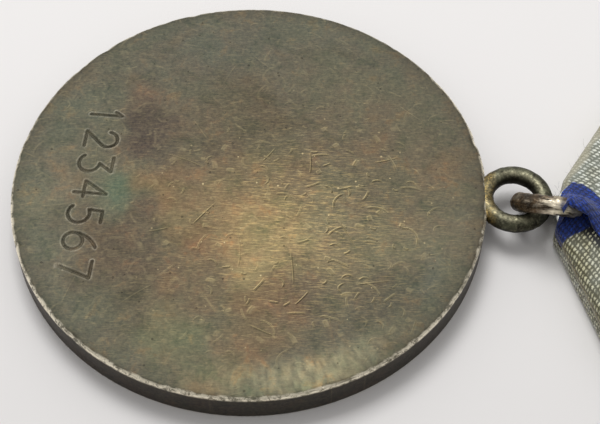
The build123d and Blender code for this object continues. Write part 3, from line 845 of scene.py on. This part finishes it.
def ribbon_silk(name, moire=False):
    """Ribbed silk: a row of small slanting warp floats on each rib, grey, with blue edges."""
    s = Shader(name)
    place, rolled = s.place, s.painted("rolled")
    wander = s.minus(s.noise(place, 1.1, 3, 0.6), 0.5)
    fuzz = s.noise(place, 11.0, 3, 0.7)
    u, v, _ = s.split(s.painted("weave", "Vector"))
    loose = s.minus(s.noise(s.moved(place, (7.0, 2.0, 5.0)), 4.2, 3, 0.65), 0.5)
    rib = s.times_plus(wander, 0.4, s.times_plus(loose, 0.5, s.math("DIVIDE", u, RIB)))
    number, part = s.math("FLOOR", rib), s.math("FRACT", rib)
    crest = s.math("SINE", s.times(part, pi))
    lean = s.times_plus(loose, 0.7, s.times_plus(part, 0.55, s.times(number, 0.5)))
    thread = s.plus(lean, s.math("DIVIDE", s.times_plus(wander, 0.2, v), WARP))
    warp_float = s.math("SINE", s.times(s.math("FRACT", thread), pi))
    cell = s.noise(s.node("CombineXYZ", (number, s.math("FLOOR", thread)))[0], 0.71, 1, 0.5)
    light = s.times(s.math("POWER", crest, 0.8), s.math("POWER", warp_float, 1.3))
    light = s.times(light, s.ranged(cell, 0.3, 0.7, 0.4, 1.25))
    light = s.times_plus(s.minus(fuzz, 0.5), 0.9, light)
    patch = s.noise(s.moved(place, (3.0, 8.0, 0.0)), 0.5, 3, 0.6)
    # painted shade as well as tint: higher values make the grey both warmer and darker
    hue = s.math("ADD", s.painted("warm"), s.ranged(patch, 0.35, 0.65, -0.3, 0.3), clamp=True)
    low = s.mix(hue, linear(130, 135, 123), linear(82, 78, 52))
    high = s.mix(hue, linear(246, 250, 240), linear(206, 202, 164))
    grey = s.mix(s.eased(light, 0.15, 0.9), low, high)
    flat = s.mix(s.ranged(fuzz, 0.35, 0.65), linear(138, 132, 112), linear(190, 186, 164))
    grey = s.mix(s.times(rolled, 0.7), grey, flat)
    shade = s.times(s.painted("shade"), s.eased(light, 0.75, 0.4, 0.1, 1.0))
    grey = s.mix(shade, grey, linear(18, 20, 28))
    blue = s.mix(s.ranged(light, 0.0, 1.0), linear(2, 12, 64), linear(20, 74, 196))
    blue = s.mix(s.eased(patch, 0.42, 0.6, 0.0, 0.6), blue, s.mix(0.6, blue, (0.0, 0.0, 0.015)))
    blue = s.mix(s.ranged(fuzz, 0.52, 0.72, 0.0, 0.55), blue, linear(66, 112, 196))
    edge = s.times_plus(s.minus(s.plus(cell, fuzz), 1.0), 0.3, s.painted("stripe"))
    colour = s.mix(s.ranged(edge, -0.04, 0.04), grey, blue)
    # a brownish line where the lower flap turns down its side: a thread, with painted shadow in the gap
    # beside it
    spots = s.ranged(s.noise(place, 4.4, 3, 0.7), 0.44, 0.58)
    soiled = s.mix(spots, linear(138, 120, 80), linear(82, 68, 46))
    colour = s.mix(s.times(s.painted("grime"), s.ranged(fuzz, 0.35, 0.6, 0.3, 0.95)), colour, soiled)
    if moire:
        bent = s.stretched(s.moved(place, (2.0, 5.0, 0.0)), (0.16, 0.5, 0.2))
        water = s.math("FRACT", s.times(s.noise(bent, 1.0, 3, 0.5, 1.6), 5.0))
        veins = s.math("ABSOLUTE", s.minus(water, 0.5))
        colour = s.mix(s.eased(veins, 0.1, 0.4, 0.0, 0.3), colour, s.mix(0.5, colour, WHITE))
    height = s.times_plus(fuzz, 0.3, s.times(light, s.minus(1.0, s.times(rolled, 0.6))))
    return s.finish(colour, 0.62, 0.0, s.bump(height, 0.05, 0.9), Sheen_Weight=0.25, Sheen_Roughness=0.4)


silk = ribbon_silk("ribbon_silk")
silk_front = ribbon_silk("ribbon_silk_watered", moire=True)


def pairs(outline):
    """Each corner of a closed outline with the next one."""
    return zip(outline, outline[1:] + outline[:1])


def clipped(polygon, a, b, limit):
    """The part of an outline where a x + b y is at most limit."""
    kept = []
    for p, q in pairs(polygon):
        dp, dq = a * p[0] + b * p[1] - limit, a * q[0] + b * q[1] - limit
        if dp <= 0:
            kept.append(p)
        if (dp < 0) != (dq < 0) and dp != dq:
            t = dp / (dp - dq)
            kept.append((p[0] + t * (q[0] - p[0]), p[1] + t * (q[1] - p[1])))
    return kept


def tip_half(inset):
    """Half the flat tip of the pointed end once that is drawn in by inset."""
    return APEX_HALF + inset * tan(V_ANGLE) - inset / cos(V_ANGLE)


def wedge_offset(x, y, inset):
    """For points outside the pointed end drawn in by inset: how far off it is, its nearest place and the
    way from there. Inside it, 0, the point itself and no way."""
    half = tip_half(inset)
    c, s = cos(V_ANGLE), sin(V_ANGLE)
    best, qx, qy = np.full(len(x), 1e9), np.zeros(len(x)), np.zeros(len(x))
    inside = (x >= inset) & (np.abs(y) <= half + (x - inset) * s / c)
    for start_y, dx, dy, longest in ((-half, 0, 1, 2 * half), (half, c, s, 99), (-half, c, -s, 99)):
        t = np.clip((x - inset) * dx + (y - start_y) * dy, 0, longest)
        px, py = inset + t * dx, start_y + t * dy
        away = np.hypot(x - px, y - py)
        near = away < best
        best, qx, qy = np.where(near, away, best), np.where(near, px, qx), np.where(near, py, qy)
    best = np.where(inside, 0, best)
    nx, ny = (x - qx) / np.maximum(best, 1e-9), (y - qy) / np.maximum(best, 1e-9)
    qx, qy = np.where(inside, x, qx), np.where(inside, y, qy)
    return best, qx, qy, np.where(inside, 0, nx), np.where(inside, 0, ny)


def wedge_outline(inset, reach, end, half_width):
    """The pointed end drawn in by inset, with a strip as wide as reach unrolled past its edges."""
    half = tip_half(inset)
    shoulder = inset + (half_width - half) / tan(V_ANGLE)
    turns = np.linspace(pi / 2 + V_ANGLE, pi, 7)
    upper = [(end, half_width), (shoulder, half_width)]
    upper += [(shoulder + reach * cos(turns[0]), half_width + reach * sin(turns[0]))]
    upper += [(inset + reach * cos(a), half + reach * sin(a)) for a in turns]
    return upper + [(x, -y) for x, y in reversed(upper)]


def joined(first, second):
    """One outline from two that touch along a straight stretch, run through in opposite directions."""
    for i, (a, b) in enumerate(pairs(first)):
        way = np.subtract(b, a) / max(np.linalg.norm(np.subtract(b, a)), 1e-9)
        off = lambda p: abs(way[0] * (p[1] - a[1]) - way[1] * (p[0] - a[0]))
        for j, (p, q) in enumerate(pairs(second)):
            if off(p) < 1e-6 and off(q) < 1e-6 and np.dot(np.subtract(q, p), way) < -0.1:
                path = first[: i + 1] + second[j + 1 :] + second[: j + 1] + first[i + 1 :]
                return [p for p, q in pairs(path) if abs(p[0] - q[0]) + abs(p[1] - q[1]) > 1e-6]
    return first


def cloth_net(outline, rib_angle, across, along):
    """A triangle net inside an outline, its points in rows along the ribs."""
    edge = []
    for p, q in pairs(outline):
        length = sqrt((q[0] - p[0]) ** 2 + (q[1] - p[1]) ** 2)
        if length < 1e-4:
            continue
        count = max(1, int(length / (1.3 * across)))
        edge += [(p[0] + (q[0] - p[0]) * k / count, p[1] + (q[1] - p[1]) * k / count) for k in range(count)]
    corners = np.array(outline)
    middle = corners.mean(0)
    radius = np.hypot(*(corners - middle).T).max()
    c, s = cos(rib_angle), sin(rib_angle)
    a, b = np.meshgrid(np.arange(-radius, radius, along), np.arange(-radius, radius, across))
    a[1::2] += along / 2
    x, y = middle[0] + a.ravel() * c - b.ravel() * s, middle[1] + a.ravel() * s + b.ravel() * c
    keep = inside_by(x, y, corners) > 0.45 * across
    points = [Vector(p) for p in edge] + [Vector(p) for p in zip(x[keep], y[keep])]
    made = delaunay_2d_cdt(points, [], [list(range(len(edge)))], 1, 1e-6, False)
    places, faces = np.array([tuple(v) for v in made[0]]), np.array([tuple(f) for f in made[2]])
    centres = places[faces].mean(1)
    return places, [tuple(f) for f in faces[inside_by(*centres.T, corners) > 0].tolist()]


def weave_of(x, y, rib_angle):
    """Distances across the ribs and along them, as vectors, and how high the ribs stand."""
    c, s = cos(rib_angle), sin(rib_angle)
    u = -x * s + y * c
    crest = np.abs(np.sin(pi * u / RIB))
    return np.stack([u, x * c + y * s, 0 * u], 1), 0.055 * (crest**0.8 - 0.6)


def add_thickness(piece, thickness):
    """Gives an open sheet its thickness on the side away from its normals."""
    solid = piece.modifiers.new("thickness", "SOLIDIFY")
    solid.thickness = thickness * MM
    solid.offset = -1
    solid.use_even_offset = False
    depsgraph = bpy.context.evaluated_depsgraph_get()
    mesh = bpy.data.meshes.new_from_object(piece.evaluated_get(depsgraph))
    piece.modifiers.clear()
    piece.data = mesh


def swept_ring():
    """Where the link ring's surface goes while it turns up about the lug's bar, in millimetres."""
    places = []
    upper = link_joint["range_deg"][1]
    for angle in (*np.arange(0, upper, RING_STEP), upper):
        turn = np.array(Matrix.Rotation(radians(angle), 3, Vector(link_normal)))
        places.append((ring_points - link_pivot) @ turn.T + link_pivot)
    return np.concatenate(places)


def ring_tent(x, y, base):
    """The cloth's height where it is pulled over the link ring, with room for the ring to turn up."""
    clearance, slope, softness = 0.14, 1.4, 0.05
    up_block, past_tip = 0.75, 2.2  # how much distances count for, so that the tent trails up the block
    swept = swept_ring()
    covered = swept[(swept[:, 0] > block_x + 0.3)][::5]
    px, py, pz = covered[:, 0] - block_x, covered[:, 1] - block_y, covered[:, 2]
    high = base.copy()
    close = np.where((x < 5.5) & (x > -1.5) & (np.abs(y) < 4.0))[0]
    for part in np.array_split(close, len(close) // BATCH + 1):
        dx, dy = x[part][:, None] - px, y[part][:, None] - py
        away = np.hypot(np.where(dx > 0, dx * up_block, dx * past_tip), dy)
        needed = (pz[None] - slope * np.maximum(away - 0.1, 0)).max(1) + clearance
        gap = needed - base[part]
        high[part] = base[part] + 0.5 * (gap + np.sqrt(gap**2 + softness)) * (gap > -1.5)
    return high


def ring_room(x, y):
    """How far the pointed end's tip is held back, so that the eyelet has room when the link turns."""
    return RING_ROOM * smoothed(np.abs(y - 0.4), 2.4, 1.3) * smoothed(x, 1.6, 0.1)


def edge_distance(x, y):
    """Distance past the line where the flap starts to roll over its pointed edge; negative inside."""
    return (np.abs(y) - tip_half(FLAP_ROLL)) * cos(V_ANGLE) - (x - FLAP_ROLL) * sin(V_ANGLE)


def lay_sheet(piece):
    """Thickens a stretch of the ribbon and hides the frame's ribbon."""
    add_thickness(piece, CLOTH)
    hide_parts("ribbon")


def build_flap(name, outline, rib_angle, top, tent, seed):
    """One back flap: flat on the block, rolled over the pointed end's edges and down its sides.
    Gives back the piece, its vertices' places on the flat silk and how far they are past the roll."""
    flat_points, faces = cloth_net(outline, rib_angle, RIB / 5, 0.2)
    x, y = flat_points.T
    e, qx, qy, nx, ny = wedge_offset(x, y, FLAP_ROLL)
    bend = np.minimum(e / FLAP_ROLL, pi / 2)
    down = np.maximum(e - FLAP_ROLL * pi / 2, 0)
    z = top - FLAP_ROLL * (1 - np.cos(bend)) - down
    out = FLAP_ROLL * np.sin(bend) - 0.27 * smoothed(z, 1.5, 1.2)
    z = z + 0.05 * lattice(x, y, 2.4, seed) * (e < 1.0)
    if tent:
        z = np.where(e < 1.2, ring_tent(x, y, z), z)
        reach, bearing = np.hypot(x - 0.4, y - 0.1), np.arctan2(y - 0.1, x - 0.4)
        gathers = 0.075 * (1 + np.sin(5 * bearing + 1.3 + 0.9 * reach))
        z += gathers * smoothed(reach, 4.2, 0.9) * (e < 1.2)
    weave, h = weave_of(x, y, rib_angle)
    h = h + 0.012 * lattice(x, y, 0.7, seed + 1)
    px, py = qx + nx * (out + h * np.sin(bend)), qy + ny * (out + h * np.sin(bend))
    points = np.stack([px + ring_room(px, py) + block_x, py + block_y, z + h * np.cos(bend)], 1)
    piece = make_piece(name, points, faces, silk, "block")
    paint(piece, weave=weave)
    return piece, x, y, e


def build_front():
    """The ribbon's front, turned up round the pointed end and over the block's top edge on to its back."""
    roll, fold = FRONT_ROLL, FOLD_ROLL
    level, wall_height = ribbon_high[0] - block_x - fold, ribbon_top - LOWER_DROP - 2 * fold
    end = level + fold * pi + wall_height + TURNED_OVER
    outline = wedge_outline(roll, roll * pi / 2 + SIDE_RISE - roll, end, block_half - SIDE_GAP)
    flat_points, faces = cloth_net(outline, pi / 2, RIB / 4, 0.4)
    x, y = flat_points.T
    e, qx, qy, nx, ny = wedge_offset(x, y, roll)
    bend = np.minimum(e / roll, pi / 2)
    z = roll * (1 - np.cos(bend)) + np.maximum(e - roll * pi / 2, 0)
    # past the level stretch the silk turns up round the top edge, climbs the wall and turns on to the back
    past, turned_up = np.maximum(x - level, 0), x > level
    first = np.minimum(past / fold, pi / 2)
    wall = np.clip(past - fold * pi / 2, 0, wall_height)
    second = np.clip((past - fold * pi / 2 - wall_height) / fold, 0, pi / 2)
    under = np.maximum(past - fold * pi - wall_height, 0)
    z = z + fold * (1 - np.cos(first)) + wall + fold * np.sin(second)
    qx = np.where(turned_up, level + fold * np.sin(first) - fold * (1 - np.cos(second)) - under, qx)
    weave, h = weave_of(x, y, pi / 2)
    h = h + 0.01 * lattice(x, y, 0.7, 92)
    wave = 0.04 * (1 + lattice(x, y, 4.0, 91)) * smoothed(block_half - np.abs(y), 0.0, 1.5)
    wave *= (e < 0.1) & ~turned_up
    turn = np.where(turned_up, first + second, bend)
    nx, ny = np.where(turned_up, 1.0, nx), np.where(turned_up, 0.0, ny)
    out = roll * np.sin(bend) * ~turned_up + h * np.sin(turn)
    px, py = qx + nx * out, qy + ny * out
    height = np.maximum(z - h * np.cos(turn) + wave, 0.0)
    points = np.stack([px + ring_room(px, py) + block_x, py + block_y, height], 1)
    piece = make_piece("ribbon_front", points, [tuple(reversed(f)) for f in faces], silk_front, "block")
    stripe = np.where(e > 0.05, -1.0, np.abs(y) - (block_half - STRIPE_WIDTH))
    # painted shade: the silk is laid on darker and warmer where it turns down the sides
    paint(piece, weave=weave, stripe=stripe, warm=0.35 + 0.5 * smoothed(e, 0.1, 0.9))
    paint(piece, shade=0 * x, grime=0 * x, rolled=0 * x)
    lay_sheet(piece)


def build_flaps(fray):
    """The two back flaps. The upper one is pulled over the link ring as a hood and lies on the lower."""
    reach, end = FLAP_ROLL * pi / 2 + SIDE_RISE, COVER_START + UNDER_COVER
    whole = wedge_outline(FLAP_ROLL, reach, end, block_half - SIDE_GAP)
    ax, ay = sin(FREE_ANGLE), -cos(FREE_ANGLE)
    limit = ax * FREE_POINT[0] + ay * FREE_POINT[1]
    hood = clipped(clipped(clipped(whole, -ax, -ay, -limit), 0, -1, HOOD_SIDE), 1, 0, HOOD_END)
    upper = joined(clipped(whole, ax, ay, limit), hood)
    flap, x, y, e = build_flap("ribbon_flap_upper", upper, radians(45), ribbon_top - UPPER_DROP, True, 71)
    rolled = smoothed(edge_distance(x, y) - 0.2 * lattice(x, y, 1.2, 77), 0.0, 0.35)
    # painted shade: the flap is laid on darker and warmer where it rolls over its edges
    paint(flap, stripe=np.interp(x, *UPPER_STRIPE) - y, warm=0.1 + 0.5 * smoothed(e, 0.0, 0.5))
    paint(flap, shade=0 * x, grime=0 * x, rolled=rolled)
    lay_sheet(flap)
    start_x, start_y = LOWER_START
    bx, by = -sin(LOWER_ANGLE), cos(LOWER_ANGLE)
    lower = clipped(whole, bx, by, bx * start_x + by * start_y + STRIPE_WIDTH)
    flap, x, y, e = build_flap("ribbon_flap_lower", lower, radians(-52), ribbon_top - LOWER_DROP, False, 81)
    stripe_edge = start_y + (x - start_x) * tan(LOWER_STRIPE_ANGLE)
    from_edge = (x - FREE_POINT[0]) * ax + (y - FREE_POINT[1]) * ay
    shade = 0.95 * smoothed(from_edge, 0.95, 0.45) * smoothed(x, 1.6, 2.4)
    # painted shadow and a thread: a brownish line where the lower flap turns down the block's side
    grime = bell(e, 1.25, 0.16) * smoothed(x, -0.6, 0.6)
    # painted shade: the lower flap is laid on darker and warmer than the upper, most on its side
    paint(flap, stripe=(y - stripe_edge) * 0.8, warm=0.58 + 0.42 * smoothed(e, -0.2, 0.8))
    paint(flap, shade=shade, grime=grime, rolled=0.75 * smoothed(e, 1.2, 1.5))
    lay_sheet(flap)


STRANDS, HOOD_STRANDS, STRAND_STEPS = 34, 24, 6


def build_fray():
    """Loose ends of silk: the first at the hood, the rest along the flaps' edges."""
    random = np.random.RandomState(19)
    points, faces, stripe = [], [], []
    for number in range(STRANDS):
        if number < HOOD_STRANDS:
            start = [random.uniform(-0.05, 0.5), random.uniform(-1.5, 2.0), random.uniform(2.4, 3.1)]
        else:
            along = random.uniform(0.2, 5.0)
            across = (1.5 + along * 0.9) * random.choice([-1, 1])
            start = [along * 0.42 + 0.1, across, random.uniform(2.3, 2.9)]
        way = np.array([random.uniform(-1, 0.1), random.uniform(-0.7, 0.9), random.uniform(-0.2, 1.0)])
        way /= np.linalg.norm(way)
        curl = np.cross(way, random.uniform(-1, 1, 3)) * random.uniform(0.2, 0.8)
        length, thin = random.uniform(0.25, 0.8), random.uniform(0.006, 0.011)
        base = len(points)
        for k in range(STRAND_STEPS + 1):
            t = k / STRAND_STEPS
            spot = start + way * length * t + curl * length * t * t
            for turn in (0, 2 * pi / 3, 4 * pi / 3):
                round_it = thin * (1 - 0.6 * t) * np.array([cos(turn), sin(turn), 0.3 * sin(turn)])
                points.append(spot + round_it + (block_x, block_y, 0))
                stripe.append(-1.0 if number % 3 == 0 else 1.0)
        faces += [(a, b, c, d) for a, d, c, b in tube_faces(STRAND_STEPS, 3, base)]
        faces += [(base + 2, base + 1, base), (len(points) - 3, len(points) - 2, len(points) - 1)]
    fray = make_piece("ribbon_fray", points, faces, silk, "block")
    paint(fray, stripe=stripe, rolled=[0.6] * len(points))
    return fray


build_front()
build_flaps(build_fray())


# ---- the block's metal, the pin and the enamel ----------------------------------------------------
def worn_metal(name, base, dark, bright, along, rough, rust=None):
    """Plain metal with rolling lines, handling scratches and dull patches."""
    s = Shader(name)
    place = s.place
    base, dark, bright = linear(*base), linear(*dark), linear(*bright)
    stretch = {"X": (0.5, 12.0, 12.0), "Y": (12.0, 0.5, 12.0)}[along]
    lines = s.noise(s.stretched(place, stretch), 1.0, 4, 0.6)
    dull = s.noise(place, 0.35, 4, 0.6, 0.5)
    fine = s.noise(s.moved(place, (3.0, 17.0, 5.0)), 5.0, 4, 0.7)
    colour = s.mix(s.ranged(lines, 0.3, 0.7), dark, base)
    colour = s.mix(s.eased(dull, 0.45, 0.7, 0.0, 0.45), colour, dark)
    long_marks = s.marks(place, 5.5, 6.0, 0.06, 0.7, 5, 0.15)
    short_marks = s.marks(place, 1.7, 1.4, 0.045, 0.55, 17, 0.5)
    light = s.times(s.highest([long_marks, short_marks]), s.level())
    colour = s.mix(s.times(light, 0.55), colour, bright)
    stains = s.times(s.specks(place, 2.3, 0.22, 0.3, 4), s.level())
    colour = s.mix(s.times(stains, 0.5), colour, s.mix(0.5, dark, BLACK))
    if rust:
        rusty = s.eased(s.noise(place, 1.4, 4, 0.7), 0.55, 0.68, 0.0, 0.8)
        colour = s.mix(rusty, colour, linear(*rust))
    height = s.minus(s.times_plus(lines, 0.5, s.times(fine, 0.3)), s.times(light, 0.9))
    dullness = s.ranged(dull, 0.3, 0.7, rough - 0.07, rough + 0.14)
    roughness = s.plus(dullness, s.times(s.ranged(fine, 0.4, 0.7), 0.06))
    return s.finish(colour, roughness, 0.9, s.bump(height, 0.03, 0.5))


def softened(node, body, material, width, new_name):
    """A copy of a CAD node's mesh with its sharp edges rounded, standing for that node."""
    work = bmesh.new()
    work.from_mesh(frame["nodes"][node].data)
    bmesh.ops.remove_doubles(work, verts=work.verts, dist=1e-6)
    bmesh.ops.dissolve_limit(work, angle_limit=radians(1.5), verts=work.verts, edges=work.edges)
    sharp = [e for e in work.edges if len(e.link_faces) == 2 and e.calc_face_angle() > radians(35)]
    how = dict(segments=2, profile=0.5, affect="EDGES", clamp_overlap=False)
    bmesh.ops.bevel(work, geom=sharp, offset=width * MM, **how)
    bmesh.ops.triangulate(work, faces=[f for f in work.faces if len(f.verts) > 4])
    mesh = bpy.data.meshes.new(new_name)
    work.to_mesh(mesh)
    work.free()
    mesh.polygons.foreach_set("use_smooth", [True] * len(mesh.polygons))
    mesh.set_sharp_from_angle(angle=radians(40))
    mesh.materials.clear()
    mesh.materials.append(material)
    piece = placed(new_name, mesh)
    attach(piece, body)
    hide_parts(node)


def build_metal():
    """The block's tray and back plate, the rivets, and the pin with its bracket, axle and clip."""
    steel, rust = ((128, 126, 120), (84, 80, 74), (204, 202, 196)), (104, 72, 48)
    plate = worn_metal("plate_aluminium", (168, 168, 164), (118, 118, 112), (226, 226, 222), "X", 0.36)
    cover = worn_metal("cover_aluminium", (176, 176, 172), (128, 128, 122), (232, 232, 228), "X", 0.32)
    rivet = worn_metal("rivet_aluminium", (160, 160, 156), (104, 104, 98), (226, 226, 222), "Y", 0.34)
    pin = worn_metal("pin_steel", *steel, "X", 0.3, rust)
    axle = worn_metal("axle_steel", *steel, "X", 0.28, rust)
    needle = worn_metal("needle_steel", (142, 140, 136), (96, 92, 86), (214, 212, 206), "Y", 0.24)
    catch = worn_metal("catch_steel", (150, 140, 112), (104, 94, 70), (214, 206, 180), "X", 0.3)
    softened("block_plate", "block", plate, 0.07, "block_tray")
    softened("cover_plate", "block", cover, 0.07, "back_plate")
    softened("hinge_bracket", "block", pin, 0.07, "pin_bracket")
    softened("hinge_axle", "block", axle, 0.1, "pin_axle")
    softened("pin_needle", "needle", needle, 0.05, "pin_shaft")
    softened("pin_catch", "block", catch, 0.06, "pin_clip")
    softened("rivets", "block", rivet, 0.16, "rivet_heads")


def red_enamel():
    """Deep red glass with a few dark bubbles."""
    s = Shader("red_enamel")
    depth, fine = s.noise(s.place, 0.5, 3, 0.6), s.noise(s.place, 4.0, 3, 0.6)
    colour = s.mix(s.ranged(depth, 0.3, 0.7), linear(112, 12, 16), linear(158, 22, 24))
    colour = s.mix(s.ranged(fine, 0.5, 0.75, 0.0, 0.35), colour, linear(186, 48, 40))
    bubbles = s.specks(s.place, 0.7, 0.07, 0.3, 3)
    colour = s.mix(s.times(bubbles, 0.7), colour, linear(60, 8, 10))
    rough = s.ranged(fine, 0.3, 0.7, 0.1, 0.22)
    return s.finish(colour, rough, 0.0, s.bump(fine, 0.012, 0.3), Coat_Weight=0.6, Coat_Roughness=0.06)


def build_enamel():
    """The enamel fills the star's border and swells a little in the middle."""
    low, high = box_mm("enamel_star")
    floor, crown, edge = high[2], low[2] + 0.01, low[2] + 0.1
    outline = star_outline(STAR_RADIUS - 1.32 * STAR_BORDER - 0.55)
    flat_points, faces = cloth_net([tuple(p) for p in outline], 0.0, 0.12, 0.16)
    x, y = flat_points.T
    away = inside_by(x, y, outline)
    z = edge + (crown - edge) * smoothed(away, 0.0, 0.7) + 0.012 * lattice(x, y, 0.8, 95)
    c, s = cos(disc_turn), sin(disc_turn)
    points = np.stack([x * c - y * s, x * s + y * c, z], 1)
    count = len(points)
    border = [i for i in range(count) if away[i] < 1e-6]
    border.sort(key=lambda i: atan2(y[i], x[i]))
    skirt = points[border].copy()
    skirt[:, 2] = floor
    faces = [tuple(reversed(f)) for f in faces]
    total = len(border)
    for k in range(total):
        a, b = border[k], border[(k + 1) % total]
        faces.append((a, b, count + (k + 1) % total, count + k))
    faces.append(tuple(count + k for k in range(total)))
    piece = make_piece("star_enamel", np.concatenate([points, skirt]), faces, red_enamel(), "medal")
    piece.data.set_sharp_from_angle(angle=radians(50))
    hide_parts("enamel_star")


build_metal()
build_enamel()


# ---- stage, light and camera ----------------------------------------------------------------------
FLOOR_HALF, FLOOR_HEIGHT = 1.5, -0.01 * MM  # in metres


def build_floor():
    """A wide, flat, pale floor with painted shade toward the camera, where it is a little darker."""
    s = Shader("floor_paper")
    # painted shade: the floor darkens toward the camera
    nearness = s.eased(s.split(s.place)[1], 15.0, -32.0)
    s.finish(s.mix(nearness, linear(238, 236, 235), linear(229, 227, 226)), 0.9)
    mesh = bpy.data.meshes.new("floor")
    corners = ((-1, -1), (1, -1), (1, 1), (-1, 1))
    mesh.from_pydata([(x * FLOOR_HALF, y * FLOOR_HALF, FLOOR_HEIGHT) for x, y in corners], [], [(0, 1, 2, 3)])
    mesh.materials.append(s.material)
    placed("floor", mesh)


def build_studio():
    """Pale light from all round, paler behind the medal and overhead than at the near side."""
    world = bpy.data.worlds.new("studio")
    bpy.context.scene.world = world
    world.use_nodes = True
    nodes = Nodes(world.node_tree)
    direction = nodes.node("TexCoord")["Generated"]
    lean = nodes.node("VectorMath", (direction, (-0.25, 0.6, 0.76)), operation="DOT_PRODUCT")["Value"]
    background = world.node_tree.nodes["Background"]
    nodes.set(background.inputs["Color"], (1.0, 0.99, 0.98))
    nodes.set(background.inputs["Strength"], nodes.ranged(lean, -0.55, 0.8, 0.16, 0.66))


def build_lamp():
    """One large soft lamp, up and behind to the left, aimed near the disc."""
    lamp = bpy.data.lights.new("key_light", "AREA")
    lamp.size = 0.22
    lamp.energy = 1.3
    holder = placed("key_light", lamp)
    holder.location = (-0.09, 0.23, 0.42)
    holder.rotation_mode = "QUATERNION"
    holder.rotation_quaternion = (Vector((0.01, 0, 0)) - holder.location).to_track_quat("-Z", "Y")


def build_camera():
    """A camera that sees the medal as the photo does."""
    place, target = Vector((12.147, -66.506, 98.025)) * MM, Vector((4.087, -0.868, 1.3)) * MM
    ahead = (target - place).normalized()
    right = Vector((cos(radians(7.0)), sin(radians(7.0)), 0))
    up = right.cross(ahead)
    roll = radians(0.589)
    right, up = right * cos(roll) + up * sin(roll), up * cos(roll) - right * sin(roll)
    lens = bpy.data.cameras.new("camera")
    lens.lens = 90
    lens.sensor_width = 36
    lens.clip_start = 0.005
    camera = placed("camera", lens)
    camera.matrix_world = Matrix.Translation(place) @ Matrix((right, up, -ahead)).transposed().to_4x4()
    bpy.context.scene.camera = camera


build_floor()
build_studio()
build_lamp()
build_camera()
bpy.context.scene.view_settings.view_transform = "Standard"
bpy.context.view_layer.update()
